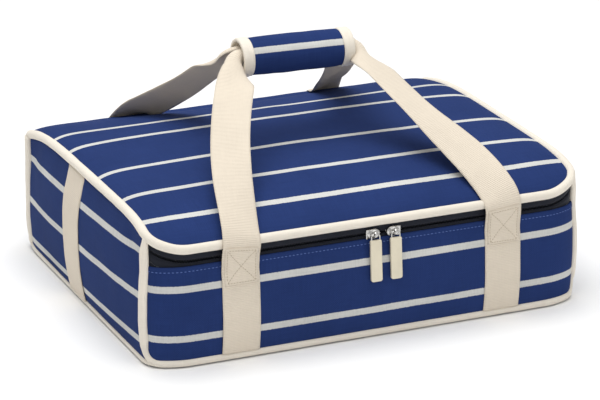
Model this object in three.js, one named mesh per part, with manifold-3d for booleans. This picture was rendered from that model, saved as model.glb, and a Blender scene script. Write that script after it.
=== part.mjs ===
// Insulated pizza delivery bag: a soft rectangular tub with a zipped lid hinged along the back,
// webbing straps on all four sides and two webbing handles joined by a wrapped, padded grip.
// Millimetres, +Z up, front facing -Y, origin at the bottom centre.
import * as THREE from 'three';
import { mergeVertices } from 'three/addons/utils/BufferGeometryUtils.js';
import Module from 'manifold-3d';

const wasm = await Module();
wasm.setup();

// Overall shape
const bagWidth = 450;
const bagDepth = 372;
const rimHeight = 117; // middle of the binding on the lid's edge
const lidArch = 22; // rise of the lid halfway back
const lidArchPower = 4;
const lidSwell = 7; // how far the filled lid stands above its edges
const lidSwellForward = 46; // its highest place in front of the middle
const shoulderRadius = 60; // the front eases back before each front corner
const shoulderTurn = 30;
const frontCornerRadius = 20;
const backCornerRadius = 14;
const cornerFacets = 8;
const shoulderFacets = 4;
const stationStep = 24;

// Layers and clearances
const seamGap = 0.3;
const panelThickness = 1.5;
const wallFoamThickness = 7;
const liningThickness = 1;
const baseFabricThickness = 1.5;
const baseBoardThickness = 3;
const baseFoamThickness = 7;
const lidFoamThickness = 7;

// Bindings
const seamBindingWidth = 8;
const seamBindingStand = 2.5; // how far a seam's binding stands off the panels
const baseBindingWidth = 4;
const baseBindingStand = 1.2;
const lidBindingRadius = 4;
const lidOverhang = 2;
const hingeStripStart = 6; // behind the back panel's seams
const frontSeamTurn = 75; // the front panel's seams, as an angle round the corner
const frontSeamRadius = 15;
const backWrap = 21;
const backSeamRadius = 7;

// Zip
const zipBelowRim = 12;
const zipBandBelowRim = 17.6; // the front panel's top hem
const coilHeight = 1.4;
const coilThickness = 1.8;
const coilSplit = 1.2;
const zipTapeThickness = 1;
const zipBackInset = 45;
const foamBelowRim = 25;
const zipStopLength = 4;

// Sliders and pulls
const sliderWidth = 16;
const sliderHeight = 9.4;
const sliderSpacing = 21;
const sliderMeet = 11; // where the sliders meet, right of the middle
const sliderPlate = 1.7;
const sliderClearance = 0.4;
const sliderWeb = 0.6;
const crownWidth = 4;
const crownHole = 2.4;
const crownWall = 1.3;
const pullStand = 4.9; // from the front panel's face to the pull's middle
const pullRise = 1; // pull's pivot above the middle of the zip
const linkWire = 1.4;
const linkWidth = 9;
const linkLength = 6.5;
const tabWidth = 11.5;
const tabLength = 40;
const tabThickness = 1.2;
const tabCorner = 3.5;
const tabBarrelRadius = 1.9;

// Webbing
const webbingWidth = 38;
const webbingThickness = 1.6;
const frontStrapInset = 88; // middle of a front strap from the end of the bag
const backStrapInset = 110;
const patchHeight = 29;
const patchWidth = 36;
const patchBelowHem = 4; // clear of the pulls' barrels
const sideStrapSetback = 21; // behind the middle of the depth

// Handles and grip
const gripHeight = 233;
const gripRadius = 20;
const gripPadding = 6.5;
const gripBlueLength = 92;
const gripBindingWidth = 10;
const gripBindingStand = 0.8;
const gripHingeAngle = 60;
const gripSeamAngle = 250;
const gripTapeAngle = 3.4;
const gripTapeLength = 80;
const gripTapeInset = 0.9;
const handleStations = 44;
const frontHandleLean = 4; // how far a leg has come in where it bends over the rim
const backHandleLean = 7;
const frontBendRise = 14; // that bend above the lid
const backBendRise = 9;

const halfWidth = bagWidth / 2;
const halfDepth = bagDepth / 2;
const panelInner = -panelThickness;
const foamOuter = panelInner - seamGap;
const foamInner = foamOuter - wallFoamThickness;
const liningOuter = foamInner - seamGap;
const liningInner = liningOuter - liningThickness;
const wallBottom = baseFabricThickness + seamGap;
const boardTop = wallBottom + baseBoardThickness;
const baseFoamBottom = boardTop + seamGap;
const liningBottom = baseFoamBottom + baseFoamThickness + seamGap;
const seamClear = seamBindingWidth / 2 + seamGap;
const seamBase = wallBottom + seamGap + seamBindingWidth / 2;
const hemHeight = rimHeight - zipBandBelowRim;
const zipHeight = rimHeight - zipBelowRim;
const lidTop = rimHeight + lidBindingRadius;
const frontStrapX = halfWidth - frontStrapInset;
const backStrapX = halfWidth - backStrapInset;
const strapOuter = seamGap + webbingThickness;
const patchInner = strapOuter + seamGap;
const patchOuter = patchInner + webbingThickness;
const patchTop = hemHeight - patchBelowHem;
const handleStart = patchTop + 2 * seamGap;

function fabric(color) {
  return new THREE.MeshStandardMaterial({ color, roughness: 0.85, metalness: 0 });
}

function plastic(color) {
  return new THREE.MeshStandardMaterial({ color, roughness: 0.45, metalness: 0 });
}

function metal(color) {
  return new THREE.MeshStandardMaterial({ color, roughness: 0.3, metalness: 1 });
}

const navy = 0x2c3a70;
const cream = 0xe8dec9;
const lining = 0xb9bcc2;
const foam = 0xd9d9d4;
const zipBlack = 0x16181f;
const nickel = 0xb4b2ae;

// Turns a closed surface so that its faces point out.
function faceOut(geometry) {
  const position = geometry.getAttribute('position');
  const index = geometry.getIndex();
  const a = new THREE.Vector3();
  const b = new THREE.Vector3();
  const c = new THREE.Vector3();
  let volume = 0;
  for (let i = 0; i < index.count; i += 3) {
    a.fromBufferAttribute(position, index.getX(i));
    b.fromBufferAttribute(position, index.getX(i + 1));
    c.fromBufferAttribute(position, index.getX(i + 2));
    volume += a.dot(b.cross(c));
  }
  if (volume < 0) {
    for (let i = 0; i < index.count; i += 3) {
      const keep = index.getX(i);
      index.setX(i, index.getX(i + 1));
      index.setX(i + 1, keep);
    }
  }
  geometry.computeVertexNormals();
  return geometry;
}

// A solid through a row of rings of points, capped at both ends or closed on itself.
function loft(rings, closed = false) {
  const size = rings[0].length;
  const points = rings.flat().flatMap((p) => [p.x, p.y, p.z]);
  const faces = [];
  const last = closed ? rings.length : rings.length - 1;
  for (let r = 0; r < last; r++) {
    const here = r * size;
    const next = ((r + 1) % rings.length) * size;
    for (let k = 0; k < size; k++) {
      const l = (k + 1) % size;
      faces.push(here + k, here + l, next + l);
      faces.push(here + k, next + l, next + k);
    }
  }
  if (!closed) {
    const end = (rings.length - 1) * size;
    for (let k = 1; k < size - 1; k++) {
      faces.push(0, k + 1, k);
      faces.push(end, end + k, end + k + 1);
    }
  }
  const geometry = new THREE.BufferGeometry();
  geometry.setAttribute('position', new THREE.Float32BufferAttribute(points, 3));
  geometry.setIndex(faces);
  return faceOut(geometry);
}

// Boolean joins
function toSolid(geometry) {
  const bare = geometry.clone();
  bare.deleteAttribute('normal');
  bare.deleteAttribute('uv');
  const merged = faceOut(mergeVertices(bare, 1e-4));
  const vertProperties = new Float32Array(merged.getAttribute('position').array);
  const triVerts = new Uint32Array(merged.getIndex().array);
  return new wasm.Manifold(new wasm.Mesh({ numProp: 3, vertProperties, triVerts }));
}

function fromSolid(solid) {
  const mesh = solid.getMesh();
  const geometry = new THREE.BufferGeometry();
  geometry.setAttribute('position', new THREE.Float32BufferAttribute(mesh.vertProperties, 3));
  geometry.setIndex(Array.from(mesh.triVerts));
  return faceOut(geometry);
}

function joined(...geometries) {
  return fromSolid(geometries.map(toSolid).reduce((all, next) => all.add(next)));
}

// The wall's plan: a rectangle whose front eases back at a shoulder before each front corner,
// walked from the middle of the front towards +X. Places on the wall are given as the distance
// along it, a height, and how far they stand out from the panels' outer face.
function wallPlan() {
  const plan = [];
  function corner(x, y, radius, start, turn, facets) {
    for (let i = plan.length > 1 ? 1 : 0; i <= facets; i++) {
      const angle = start + turn * (i / facets);
      const nx = Math.cos(angle);
      const ny = Math.sin(angle);
      plan.push({ x: x + radius * nx, y: y + radius * ny, nx, ny });
    }
  }
  const quarter = Math.PI / 2;
  const ease = THREE.MathUtils.degToRad(shoulderTurn);
  const frontX = halfWidth - frontCornerRadius;
  const shoulderX = frontX - (shoulderRadius - frontCornerRadius) * Math.sin(ease);
  const shoulderY = -halfDepth + shoulderRadius;
  const frontY = shoulderY - (shoulderRadius - frontCornerRadius) * Math.cos(ease);
  const backX = halfWidth - backCornerRadius;
  const backY = halfDepth - backCornerRadius;
  plan.push({ x: 0, y: -halfDepth, nx: 0, ny: -1 });
  corner(shoulderX, shoulderY, shoulderRadius, -quarter, ease, shoulderFacets);
  corner(frontX, frontY, frontCornerRadius, ease - quarter, quarter - ease, cornerFacets);
  plan.push({ x: halfWidth, y: backY, nx: 1, ny: 0 });
  corner(backX, backY, backCornerRadius, 0, quarter, cornerFacets);
  const right = plan.slice(1).reverse();
  for (const { x, y, nx, ny } of right) {
    plan.push({ x: -x, y, nx: -nx, ny });
  }
  plan.push({ x: 0, y: -halfDepth, nx: 0, ny: -1 });
  plan[0].along = 0;
  for (let i = 1; i < plan.length; i++) {
    const step = Math.hypot(plan[i].x - plan[i - 1].x, plan[i].y - plan[i - 1].y);
    plan[i].along = plan[i - 1].along + step;
  }
  return plan;
}

const plan = wallPlan();
const girth = plan[plan.length - 1].along;

function planAt(along) {
  const here = ((along % girth) + girth) % girth;
  let i = 1;
  while (i < plan.length - 1 && plan[i].along < here) {
    i += 1;
  }
  const a = plan[i - 1];
  const b = plan[i];
  const t = (here - a.along) / (b.along - a.along);
  const mix = (key) => a[key] + (b[key] - a[key]) * t;
  return { x: mix('x'), y: mix('y'), nx: mix('nx'), ny: mix('ny') };
}

function wallPoint(along, height, out) {
  const p = planAt(along);
  return new THREE.Vector3(p.x + p.nx * out, p.y + p.ny * out, height);
}

const endIndex = 1 + shoulderFacets + cornerFacets;
const frontStraight = plan[1].along;
const endStart = plan[endIndex].along;
const endFinish = plan[endIndex + 1].along;
const backStart = plan[endIndex + 1 + cornerFacets].along;
const frontSeam = endStart - frontCornerRadius * THREE.MathUtils.degToRad(90 - frontSeamTurn);
const backSeam = endFinish + backCornerRadius - backWrap;
const zipEnd = endFinish + backCornerRadius - zipBackInset;

// Stops along a stretch of wall: both ends, every corner facet and even steps between.
function stops(from, to, extra = []) {
  const found = [from, to, ...extra.filter((s) => s > from && s < to)];
  for (const turn of [-girth, 0, girth]) {
    for (const p of plan) {
      const s = p.along + turn;
      if (s > from && s < to) {
        found.push(s);
      }
    }
  }
  const count = Math.ceil((to - from) / stationStep);
  for (let i = 1; i < count; i++) {
    found.push(from + ((to - from) * i) / count);
  }
  found.sort((a, b) => a - b);
  const kept = found.filter((s, i) => i === 0 || s - found[i - 1] > 0.05);
  kept[kept.length - 1] = to;
  return kept;
}

function archAt(y) {
  return lidArch * (1 - Math.abs(y / halfDepth) ** lidArchPower);
}

function archAlong(along) {
  return archAt(planAt(along).y);
}

function wallPanel({ from, to, low, high, inner, outer, extra }) {
  const rings = stops(from, to, extra).map((s) => [
    wallPoint(s, low(s), outer),
    wallPoint(s, high(s), outer),
    wallPoint(s, high(s), inner),
    wallPoint(s, low(s), inner),
  ]);
  return loft(rings);
}

// A section swept along a path on the wall; the section is given as across and out.
function wallSweep(path, section) {
  const rings = path.map(([s, z], i) => {
    const [s0, z0] = path[Math.max(i - 1, 0)];
    const [s1, z1] = path[Math.min(i + 1, path.length - 1)];
    const length = Math.hypot(s1 - s0, z1 - z0);
    const acrossS = -(z1 - z0) / length;
    const acrossZ = (s1 - s0) / length;
    return section.map(([u, out]) => wallPoint(s + u * acrossS, z + u * acrossZ, out));
  });
  return loft(rings);
}

function halfRound(width, stand) {
  const h = width / 2;
  return [
    [-h, panelInner],
    [0, panelInner],
    [h, panelInner],
    [h, 0.2 * stand],
    [0.7 * h, 0.75 * stand],
    [0.25 * h, stand],
    [-0.25 * h, stand],
    [-0.7 * h, 0.75 * stand],
    [-h, 0.2 * stand],
  ];
}

function round(radius, out) {
  const section = [];
  for (let k = 0; k < 8; k++) {
    const angle = (Math.PI / 4) * (k + 0.5);
    section.push([radius * Math.cos(angle), out + radius * Math.sin(angle)]);
  }
  return section;
}

// Heights along the wall
function endTop(along) {
  return rimHeight - lidBindingRadius - 2 * seamGap + archAlong(along);
}

function seamTop(along) {
  const half = seamBindingWidth / 2;
  return Math.min(endTop(along - half), endTop(along + half)) - seamGap;
}

function eased(t) {
  const c = Math.min(Math.max(t, 0), 1);
  return c * c * (3 - 2 * c);
}

const backTopHeight = rimHeight - zipBelowRim;

function backTop(along) {
  const past = girth / 2 - Math.abs(along - girth / 2) - backSeam;
  const drop = eased((past - seamClear) / hingeStripStart);
  return endTop(along) + (backTopHeight - endTop(along)) * drop;
}

function foamTop(along) {
  return rimHeight - foamBelowRim + archAlong(along);
}

// The lower edge of a panel whose seam turns from the base up to a vertical at `seam`.
function panelBase(distance, seam, radius) {
  const past = distance - (seam - radius);
  if (past <= 0) {
    return seamBase + seamClear;
  }
  const inner = radius - seamClear;
  const reach = Math.sqrt(Math.max(inner * inner - past * past, 0));
  return seamBase + radius - reach;
}

function seamStops(seam, radius) {
  const found = [];
  for (let i = 0; i <= 6; i++) {
    const angle = (Math.PI / 2) * (i / 6);
    found.push(seam - radius + (radius - seamClear) * Math.sin(angle));
  }
  return found;
}

function uSeamPath(seam, radius, middle, top) {
  const half = seam - middle;
  const right = [[middle + half, top(middle + half)]];
  for (let i = 0; i <= 6; i++) {
    const angle = (Math.PI / 2) * (i / 6);
    const across = half - radius + radius * Math.cos(angle);
    right.push([middle + across, seamBase + radius - radius * Math.sin(angle)]);
  }
  const run = stops(middle - half + radius, middle + half - radius).slice(1, -1).reverse();
  const base = run.map((s) => [s, seamBase]);
  const left = right.map(([s, z]) => [2 * middle - s, z]).reverse();
  return [...right, ...base, ...left];
}

// Body of the bag
function planPlate(out, bottom, top) {
  const edge = plan.slice(0, -1).map((p) => [p.x + p.nx * out, p.y + p.ny * out]);
  const level = (z) => edge.map(([x, y]) => new THREE.Vector3(x, y, z));
  return loft([level(bottom), level(top)]);
}

function tubLining() {
  const places = stops(0, girth).slice(0, -1);
  const floor = liningBottom + liningThickness;
  return loft([
    places.map((s) => wallPoint(s, liningBottom, liningOuter)),
    places.map((s) => wallPoint(s, foamTop(s), liningOuter)),
    places.map((s) => wallPoint(s, foamTop(s), liningInner)),
    places.map((s) => wallPoint(s, floor, liningInner)),
  ]);
}

function frontPanel() {
  const edge = frontSeam - seamClear;
  const right = seamStops(frontSeam, frontSeamRadius);
  return wallPanel({
    from: -edge,
    to: edge,
    low: (s) => panelBase(Math.abs(s), frontSeam, frontSeamRadius),
    high: () => hemHeight,
    inner: panelInner,
    outer: 0,
    extra: [...right, ...right.map((s) => -s)],
  });
}

function backPanel() {
  const middle = girth / 2;
  const seam = middle - backSeam;
  const edge = seam - seamClear;
  const right = seamStops(seam, backSeamRadius);
  return wallPanel({
    from: middle - edge,
    to: middle + edge,
    low: (s) => panelBase(Math.abs(s - middle), seam, backSeamRadius),
    high: backTop,
    inner: panelInner,
    outer: 0,
    extra: [...right.map((s) => middle + s), ...right.map((s) => middle - s)],
  });
}

// The end panel also fills the corner below the turn of the front panel's seam.
const endBase = wallBottom + seamGap + baseBindingWidth + seamGap;

function turnHeight(along) {
  const past = along - (frontSeam - frontSeamRadius);
  const outer = frontSeamRadius + seamClear;
  return seamBase + frontSeamRadius - Math.sqrt(Math.max(outer * outer - past * past, 0));
}

function turnStart(height) {
  const outer = frontSeamRadius + seamClear;
  const drop = seamBase + frontSeamRadius - height;
  return frontSeam - frontSeamRadius + Math.sqrt(outer * outer - drop * drop);
}

function endPanel(side) {
  const start = turnStart(endBase + 1);
  const seam = frontSeam + seamClear;
  const top = seam + 0.6;
  const high = (s) => (s < top ? turnHeight(Math.min(s, seam)) : endTop(s));
  const extra = [seam, top];
  const outer = frontSeamRadius + seamClear;
  const centre = frontSeam - frontSeamRadius;
  const first = Math.asin((start - centre) / outer);
  for (let i = 1; i < 6; i++) {
    extra.push(centre + outer * Math.sin(first + ((Math.PI / 2 - first) * i) / 6));
  }
  return mirrored(
    wallPanel({
      from: start,
      to: backSeam - seamClear,
      low: () => endBase,
      high,
      inner: panelInner,
      outer: 0,
      extra,
    }),
    side,
  );
}

function endBaseBinding(side) {
  const middle = wallBottom + seamGap + baseBindingWidth / 2;
  const from = turnStart(endBase);
  const path = stops(from, backSeam - seamClear).map((s) => [s, middle]);
  return mirrored(wallSweep(path, halfRound(baseBindingWidth, baseBindingStand)), side);
}

function mirrored(geometry, side) {
  if (side > 0) {
    return geometry;
  }
  return faceOut(geometry.clone().scale(-1, 1, 1));
}

function flatFoam(from, to) {
  return wallPanel({ from, to, low: () => wallBottom, high: foamTop, inner: foamInner, outer: foamOuter });
}

function hingeStrip() {
  const from = backSeam + seamClear + hingeStripStart;
  return wallPanel({
    from,
    to: girth - from,
    low: () => backTopHeight + seamGap,
    high: () => lidTop - panelThickness - seamGap,
    inner: panelInner,
    outer: 0,
  });
}

// Zip: a tape and a coil on the tub, the same on the lid
function zipBand(low, high, inner, outer) {
  return wallPanel({
    from: -zipEnd,
    to: zipEnd,
    low: (s) => low + archAlong(s),
    high: (s) => high + archAlong(s),
    inner,
    outer,
  });
}

const tapeInner = foamOuter - zipTapeThickness;
const coilOuter = foamOuter;
const coilInner = coilOuter - coilThickness;
const coilNear = coilSplit / 2;
const coilFar = coilNear + coilHeight;
const tapeNear = coilFar + seamGap;

// The tub's tape stays level behind the front panel's hem and follows the foam on the ends.
function zipTapeLower() {
  const low = rimHeight - foamBelowRim + 2 * seamGap;
  const rise = (s) => archAlong(s) * eased((Math.abs(s) - frontSeam) / (endStart - frontSeam));
  return wallPanel({
    from: -zipEnd,
    to: zipEnd,
    low: (s) => low + rise(s),
    high: (s) => zipHeight - tapeNear + archAlong(s),
    inner: tapeInner,
    outer: foamOuter,
    extra: [frontSeam, -frontSeam],
  });
}

function zipTapeUpper() {
  const high = rimHeight - lidBindingRadius - seamGap;
  return zipBand(zipHeight + tapeNear, high, tapeInner, foamOuter);
}

function zipCoil(direction) {
  const a = zipHeight + direction * coilNear;
  const b = zipHeight + direction * coilFar;
  return zipBand(Math.min(a, b), Math.max(a, b), coilInner, coilOuter);
}

function zipStop(side) {
  const from = zipEnd + seamGap;
  return mirrored(
    wallPanel({
      from,
      to: from + zipStopLength,
      low: (s) => zipHeight - tapeNear + archAlong(s),
      high: (s) => zipHeight + archAlong(s),
      inner: coilInner,
      outer: coilOuter,
    }),
    side,
  );
}

// Lid
// Rise of the lid's filling
function swellAt(x, y) {
  const away = y + lidSwellForward;
  const reach = away < 0 ? halfDepth - lidSwellForward : halfDepth + lidSwellForward;
  return lidSwell * (1 - Math.abs(x / halfWidth) ** 3) * (1 - (away / reach) ** 2);
}

function lidSheet(inset, backInset, top, thickness) {
  const rows = [];
  const backR = backCornerRadius - Math.min(backInset, backCornerRadius - 2);
  const frontY = plan[endIndex].y;
  const backY = halfDepth - backInset - backR;
  const side = halfWidth - inset;
  const backSide = halfWidth - backInset;
  for (const p of plan.slice(1, endIndex + 1)) {
    rows.push([p.y - p.ny * inset, p.x - p.nx * inset]);
  }
  const bindingEnd = halfDepth - backWrap + lidBindingRadius + 2 * seamGap;
  const cornerY = Math.max(backY, bindingEnd);
  const sideEnd = cornerY - 2 * seamGap;
  const count = Math.ceil((2 * (sideEnd - frontY)) / stationStep);
  for (let i = 1; i <= count; i++) {
    rows.push([frontY + ((sideEnd - frontY) * i) / count, side]);
  }
  for (let i = 0; i <= cornerFacets; i++) {
    const angle = (Math.PI / 2) * (i / cornerFacets);
    const x = backSide - backR + backR * Math.cos(angle);
    rows.push([cornerY + (halfDepth - backInset - cornerY) * Math.sin(angle), x]);
  }
  const shares = [-1, -0.8, -0.5, 0, 0.5, 0.8, 1];
  const rings = rows.map(([y, x]) => {
    const at = (share, drop) => {
      const z = top + archAt(y) + swellAt(share * x, y) - drop;
      return new THREE.Vector3(share * x, y, z);
    };
    const above = shares.map((share) => at(share, 0));
    const below = shares.map((share) => at(share, thickness)).reverse();
    return [at(-1, thickness / 2), ...above, ...below];
  });
  return loft(rings);
}

const lidBindingOut = lidOverhang - lidBindingRadius;
const lidPanelInset = lidBindingRadius - lidBindingOut + seamGap;
const lidFoamInset = lidPanelInset + 4 * seamGap;
const lidFoamTop = lidTop - panelThickness - seamGap;
const lidLiningTop = lidFoamTop - lidFoamThickness - seamGap;

function lidBinding() {
  const end = backSeam + lidBindingRadius;
  const path = stops(-end, end).map((s) => [s, rimHeight + archAlong(s)]);
  return wallSweep(path, round(lidBindingRadius, lidBindingOut));
}

// Webbing sewn to the walls
function frontStrap(middle, low, high, width, inner, outer) {
  return wallPanel({
    from: middle - width / 2,
    to: middle + width / 2,
    low: () => low,
    high: () => high,
    inner,
    outer,
  });
}

function faceMiddle(face, side) {
  return face === 'front' ? side * frontStrapX : girth / 2 - side * backStrapX;
}

const strapLow = seamBase + seamClear;

function sewnStrap(face, side) {
  return frontStrap(faceMiddle(face, side), strapLow, patchTop, webbingWidth, seamGap, strapOuter);
}

function sewnPatch(face, side) {
  const low = patchTop - patchHeight;
  return frontStrap(faceMiddle(face, side), low, patchTop, patchWidth, patchInner, patchOuter);
}

function sideStrap(side) {
  const middle = endStart - plan[endIndex].y + sideStrapSetback;
  const low = wallBottom + seamGap + baseBindingWidth + seamGap;
  return mirrored(
    wallPanel({
      from: middle - webbingWidth / 2,
      to: middle + webbingWidth / 2,
      low: () => low,
      high: (s) => endTop(s) - seamGap,
      inner: seamGap,
      outer: strapOuter,
    }),
    side,
  );
}

// Handles: one ribbon of webbing from patch to patch through the grip. `face` is -1 at the front.
const handleOut = (patchInner + patchOuter) / 2;
const gripEnd = gripBlueLength / 2 + seamGap + gripBindingWidth;
const gripStack = seamGap + webbingThickness / 2;
const gripInner = gripRadius - gripPadding;
const webbingGripWidth = 2 * (gripInner - 2 * seamGap); // pinched to fill the grip's bore

function handleWebbing(face) {
  const edge = halfDepth + handleOut;
  const overRim = halfDepth + lidOverhang + 2 * webbingThickness;
  const bendY = halfDepth - 14;
  const root = face < 0 ? frontStrapX : backStrapX;
  const lean = face < 0 ? frontHandleLean : backHandleLean;
  const bendZ = lidTop + archAt(bendY) + (face < 0 ? frontBendRise : backBendRise);
  const leanFrom = rimHeight - 2 * lidBindingRadius;
  const climb = (y, z) => {
    const share = Math.max((z - leanFrom) / (bendZ - leanFrom), 0);
    return new THREE.Vector3(-root + lean * share, y, z);
  };
  const rimBend = climb(bendY, bendZ);
  const gripMouth = new THREE.Vector3(-gripEnd - 22, 16, gripHeight - 9);
  const leg = new THREE.CatmullRomCurve3([
    climb(edge, handleStart),
    climb(edge, leanFrom),
    climb(overRim, rimHeight),
    climb(halfDepth, lidTop + 6),
    ...[0, 0.3, 0.62, 1].map((u) => rimBend.clone().lerp(gripMouth, u)),
    new THREE.Vector3(-gripEnd - 12, gripStack + 3, gripHeight - 2),
    new THREE.Vector3(-gripEnd - 2, gripStack, gripHeight),
    new THREE.Vector3(-gripEnd + 12, gripStack, gripHeight),
  ], false, 'centripetal');
  const left = [];
  for (let i = 0; i <= handleStations; i++) {
    const t = i / handleStations;
    const p = leg.getPointAt(t);
    const along = leg.getTangentAt(t);
    const across = new THREE.Vector3(along.z, 0, -along.x).normalize();
    const normal = new THREE.Vector3().crossVectors(across, along).normalize();
    const narrow = eased((t - 0.55) / 0.32);
    const half = (webbingWidth + (webbingGripWidth - webbingWidth) * narrow) / 2;
    const corner = (u, v) => p.clone().addScaledVector(across, u * half)
      .addScaledVector(normal, (v * webbingThickness) / 2);
    left.push([corner(-1, -1), corner(1, -1), corner(1, 1), corner(-1, 1)]);
  }
  const right = left.map((ring) => ring.map((p) => new THREE.Vector3(-p.x, p.y, p.z))).reverse();
  const whole = loft([...left, ...right]);
  return face > 0 ? whole : faceOut(whole.clone().scale(1, -1, 1));
}

// Grip: arcs of a padded tube about the X axis at the grip's height
function gripArc(startAngle, endAngle, inner, outer, from, to) {
  const count = Math.max(2, Math.ceil((endAngle - startAngle) / 11.25));
  const rings = [];
  for (let i = 0; i <= count; i++) {
    const angle = THREE.MathUtils.degToRad(startAngle + ((endAngle - startAngle) * i) / count);
    const at = (x, r) => new THREE.Vector3(x, r * Math.cos(angle), gripHeight + r * Math.sin(angle));
    rings.push([at(from, inner), at(to, inner), at(to, outer), at(from, outer)]);
  }
  return loft(rings);
}

const gripGapAngle = THREE.MathUtils.radToDeg(seamGap / gripInner);
const flapStart = gripHingeAngle + gripGapAngle;
const flapEnd = gripSeamAngle - gripTapeAngle - 2 * gripGapAngle;
const sleeveStart = gripSeamAngle + gripTapeAngle + 2 * gripGapAngle;
const sleeveEnd = gripHingeAngle + 360;

function gripWrap(startAngle, endAngle) {
  const half = gripBlueLength / 2;
  return gripArc(startAngle, endAngle, gripInner, gripRadius, -half, half);
}

function gripBinding(startAngle, endAngle, side) {
  const near = side * (gripBlueLength / 2 + seamGap);
  const far = side * gripEnd;
  const outer = gripRadius + gripBindingStand;
  return gripArc(startAngle, endAngle, gripInner, outer, Math.min(near, far), Math.max(near, far));
}

function gripTape(startAngle) {
  const half = gripTapeLength / 2;
  const inner = gripInner + gripTapeInset;
  const outer = gripRadius - gripTapeInset;
  return gripArc(startAngle, startAngle + gripTapeAngle - gripGapAngle, inner, outer, -half, half);
}

// Slider and pull, drawn at the middle of the front and moved along X
const sliderFront = coilOuter + sliderClearance + sliderPlate;
const pivotHeight = zipHeight + pullRise;

// A profile in outward and upward coordinates, drawn out along X.
function alongX(shape, width) {
  const bar = new THREE.ExtrudeGeometry(shape, { depth: width, bevelEnabled: false, curveSegments: 8 });
  const turn = new THREE.Matrix4().set(
    0, 0, 1, -width / 2,
    -1, 0, 0, -halfDepth,
    0, 1, 0, 0,
    0, 0, 0, 1,
  );
  bar.applyMatrix4(turn);
  return bar;
}

function outline(points) {
  return new THREE.Shape(points.map(([out, up]) => new THREE.Vector2(out, up)));
}

function sliderBody() {
  const top = zipHeight + sliderHeight / 2;
  const bottom = zipHeight - sliderHeight / 2;
  const web = sliderWeb / 2;
  const frontFace = coilOuter + sliderClearance;
  const backFace = coilInner - sliderClearance;
  const back = backFace - sliderPlate;
  const beam = outline([
    [sliderFront, bottom],
    [sliderFront, top],
    [frontFace, top],
    [frontFace, zipHeight + web],
    [backFace, zipHeight + web],
    [backFace, top],
    [back, top],
    [back, bottom],
    [backFace, bottom],
    [backFace, zipHeight - web],
    [frontFace, zipHeight - web],
    [frontFace, bottom],
  ]);
  const reach = crownHole / 2 + crownWall;
  const crown = outline([
    [sliderFront - 0.8, pivotHeight - reach],
    [pullStand + 0.4 * reach, pivotHeight - reach],
    [pullStand + reach, pivotHeight - 0.4 * reach],
    [pullStand + reach, pivotHeight + 0.4 * reach],
    [pullStand + 0.4 * reach, pivotHeight + reach],
    [sliderFront - 0.8, pivotHeight + reach],
  ]);
  const hole = new THREE.Path();
  hole.absarc(pullStand, pivotHeight, crownHole / 2, 0, 2 * Math.PI, true);
  crown.holes.push(hole);
  return joined(alongX(beam, sliderWidth), alongX(crown, crownWidth));
}

function pullLink() {
  const radius = linkWire / 2;
  const x = (linkWidth - linkWire) / 2;
  const bend = 1.6;
  const path = [];
  const corners = [
    [x - bend, -bend, 0],
    [-x + bend, -bend, 90],
    [-x + bend, -linkLength + bend, 180],
    [x - bend, -linkLength + bend, 270],
  ];
  for (const [cx, cz, start] of corners) {
    for (let i = 0; i <= 4; i++) {
      const angle = THREE.MathUtils.degToRad(start + 22.5 * i);
      path.push([cx + bend * Math.cos(angle), cz + bend * Math.sin(angle), angle]);
    }
  }
  const rings = path.map(([px, pz, angle]) => {
    const ring = [];
    for (let k = 0; k < 8; k++) {
      const turn = (Math.PI / 4) * (k + 0.5);
      const out = radius * Math.cos(turn);
      ring.push(new THREE.Vector3(
        px + out * Math.cos(angle),
        -halfDepth - pullStand + radius * Math.sin(turn),
        pivotHeight + pz + out * Math.sin(angle),
      ));
    }
    return ring;
  });
  return loft(rings, true);
}

function pullTab() {
  const bar = pivotHeight - linkLength;
  const barrel = new THREE.Shape();
  barrel.absarc(pullStand, bar, tabBarrelRadius, 0, 2 * Math.PI, false);
  const bore = new THREE.Path();
  bore.absarc(pullStand, bar, linkWire / 2 + seamGap, 0, 2 * Math.PI, true);
  barrel.holes.push(bore);
  const loopWidth = linkWidth - 2 * linkWire - 2 * seamGap;
  const half = tabWidth / 2;
  const top = bar - linkWire / 2 - 2 * seamGap;
  const low = top - tabLength;
  const plate = new THREE.Shape();
  plate.moveTo(-half + 1, top);
  plate.lineTo(-half, top - 1);
  plate.lineTo(-half, low + tabCorner);
  plate.absarc(-half + tabCorner, low + tabCorner, tabCorner, Math.PI, 1.5 * Math.PI, false);
  plate.absarc(half - tabCorner, low + tabCorner, tabCorner, 1.5 * Math.PI, 2 * Math.PI, false);
  plate.lineTo(half, top - 1);
  plate.lineTo(half - 1, top);
  const options = { depth: tabThickness, bevelEnabled: false, curveSegments: 4 };
  const sheet = new THREE.ExtrudeGeometry(plate, options);
  sheet.rotateX(Math.PI / 2);
  sheet.translate(0, -halfDepth - pullStand + tabThickness / 2, 0);
  return joined(alongX(barrel, loopWidth), sheet);
}

// The whole bag
const bag = new THREE.Group();

function add(name, geometry, material, parent = bag) {
  const mesh = new THREE.Mesh(geometry, material);
  mesh.name = name;
  parent.add(mesh);
}

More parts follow.
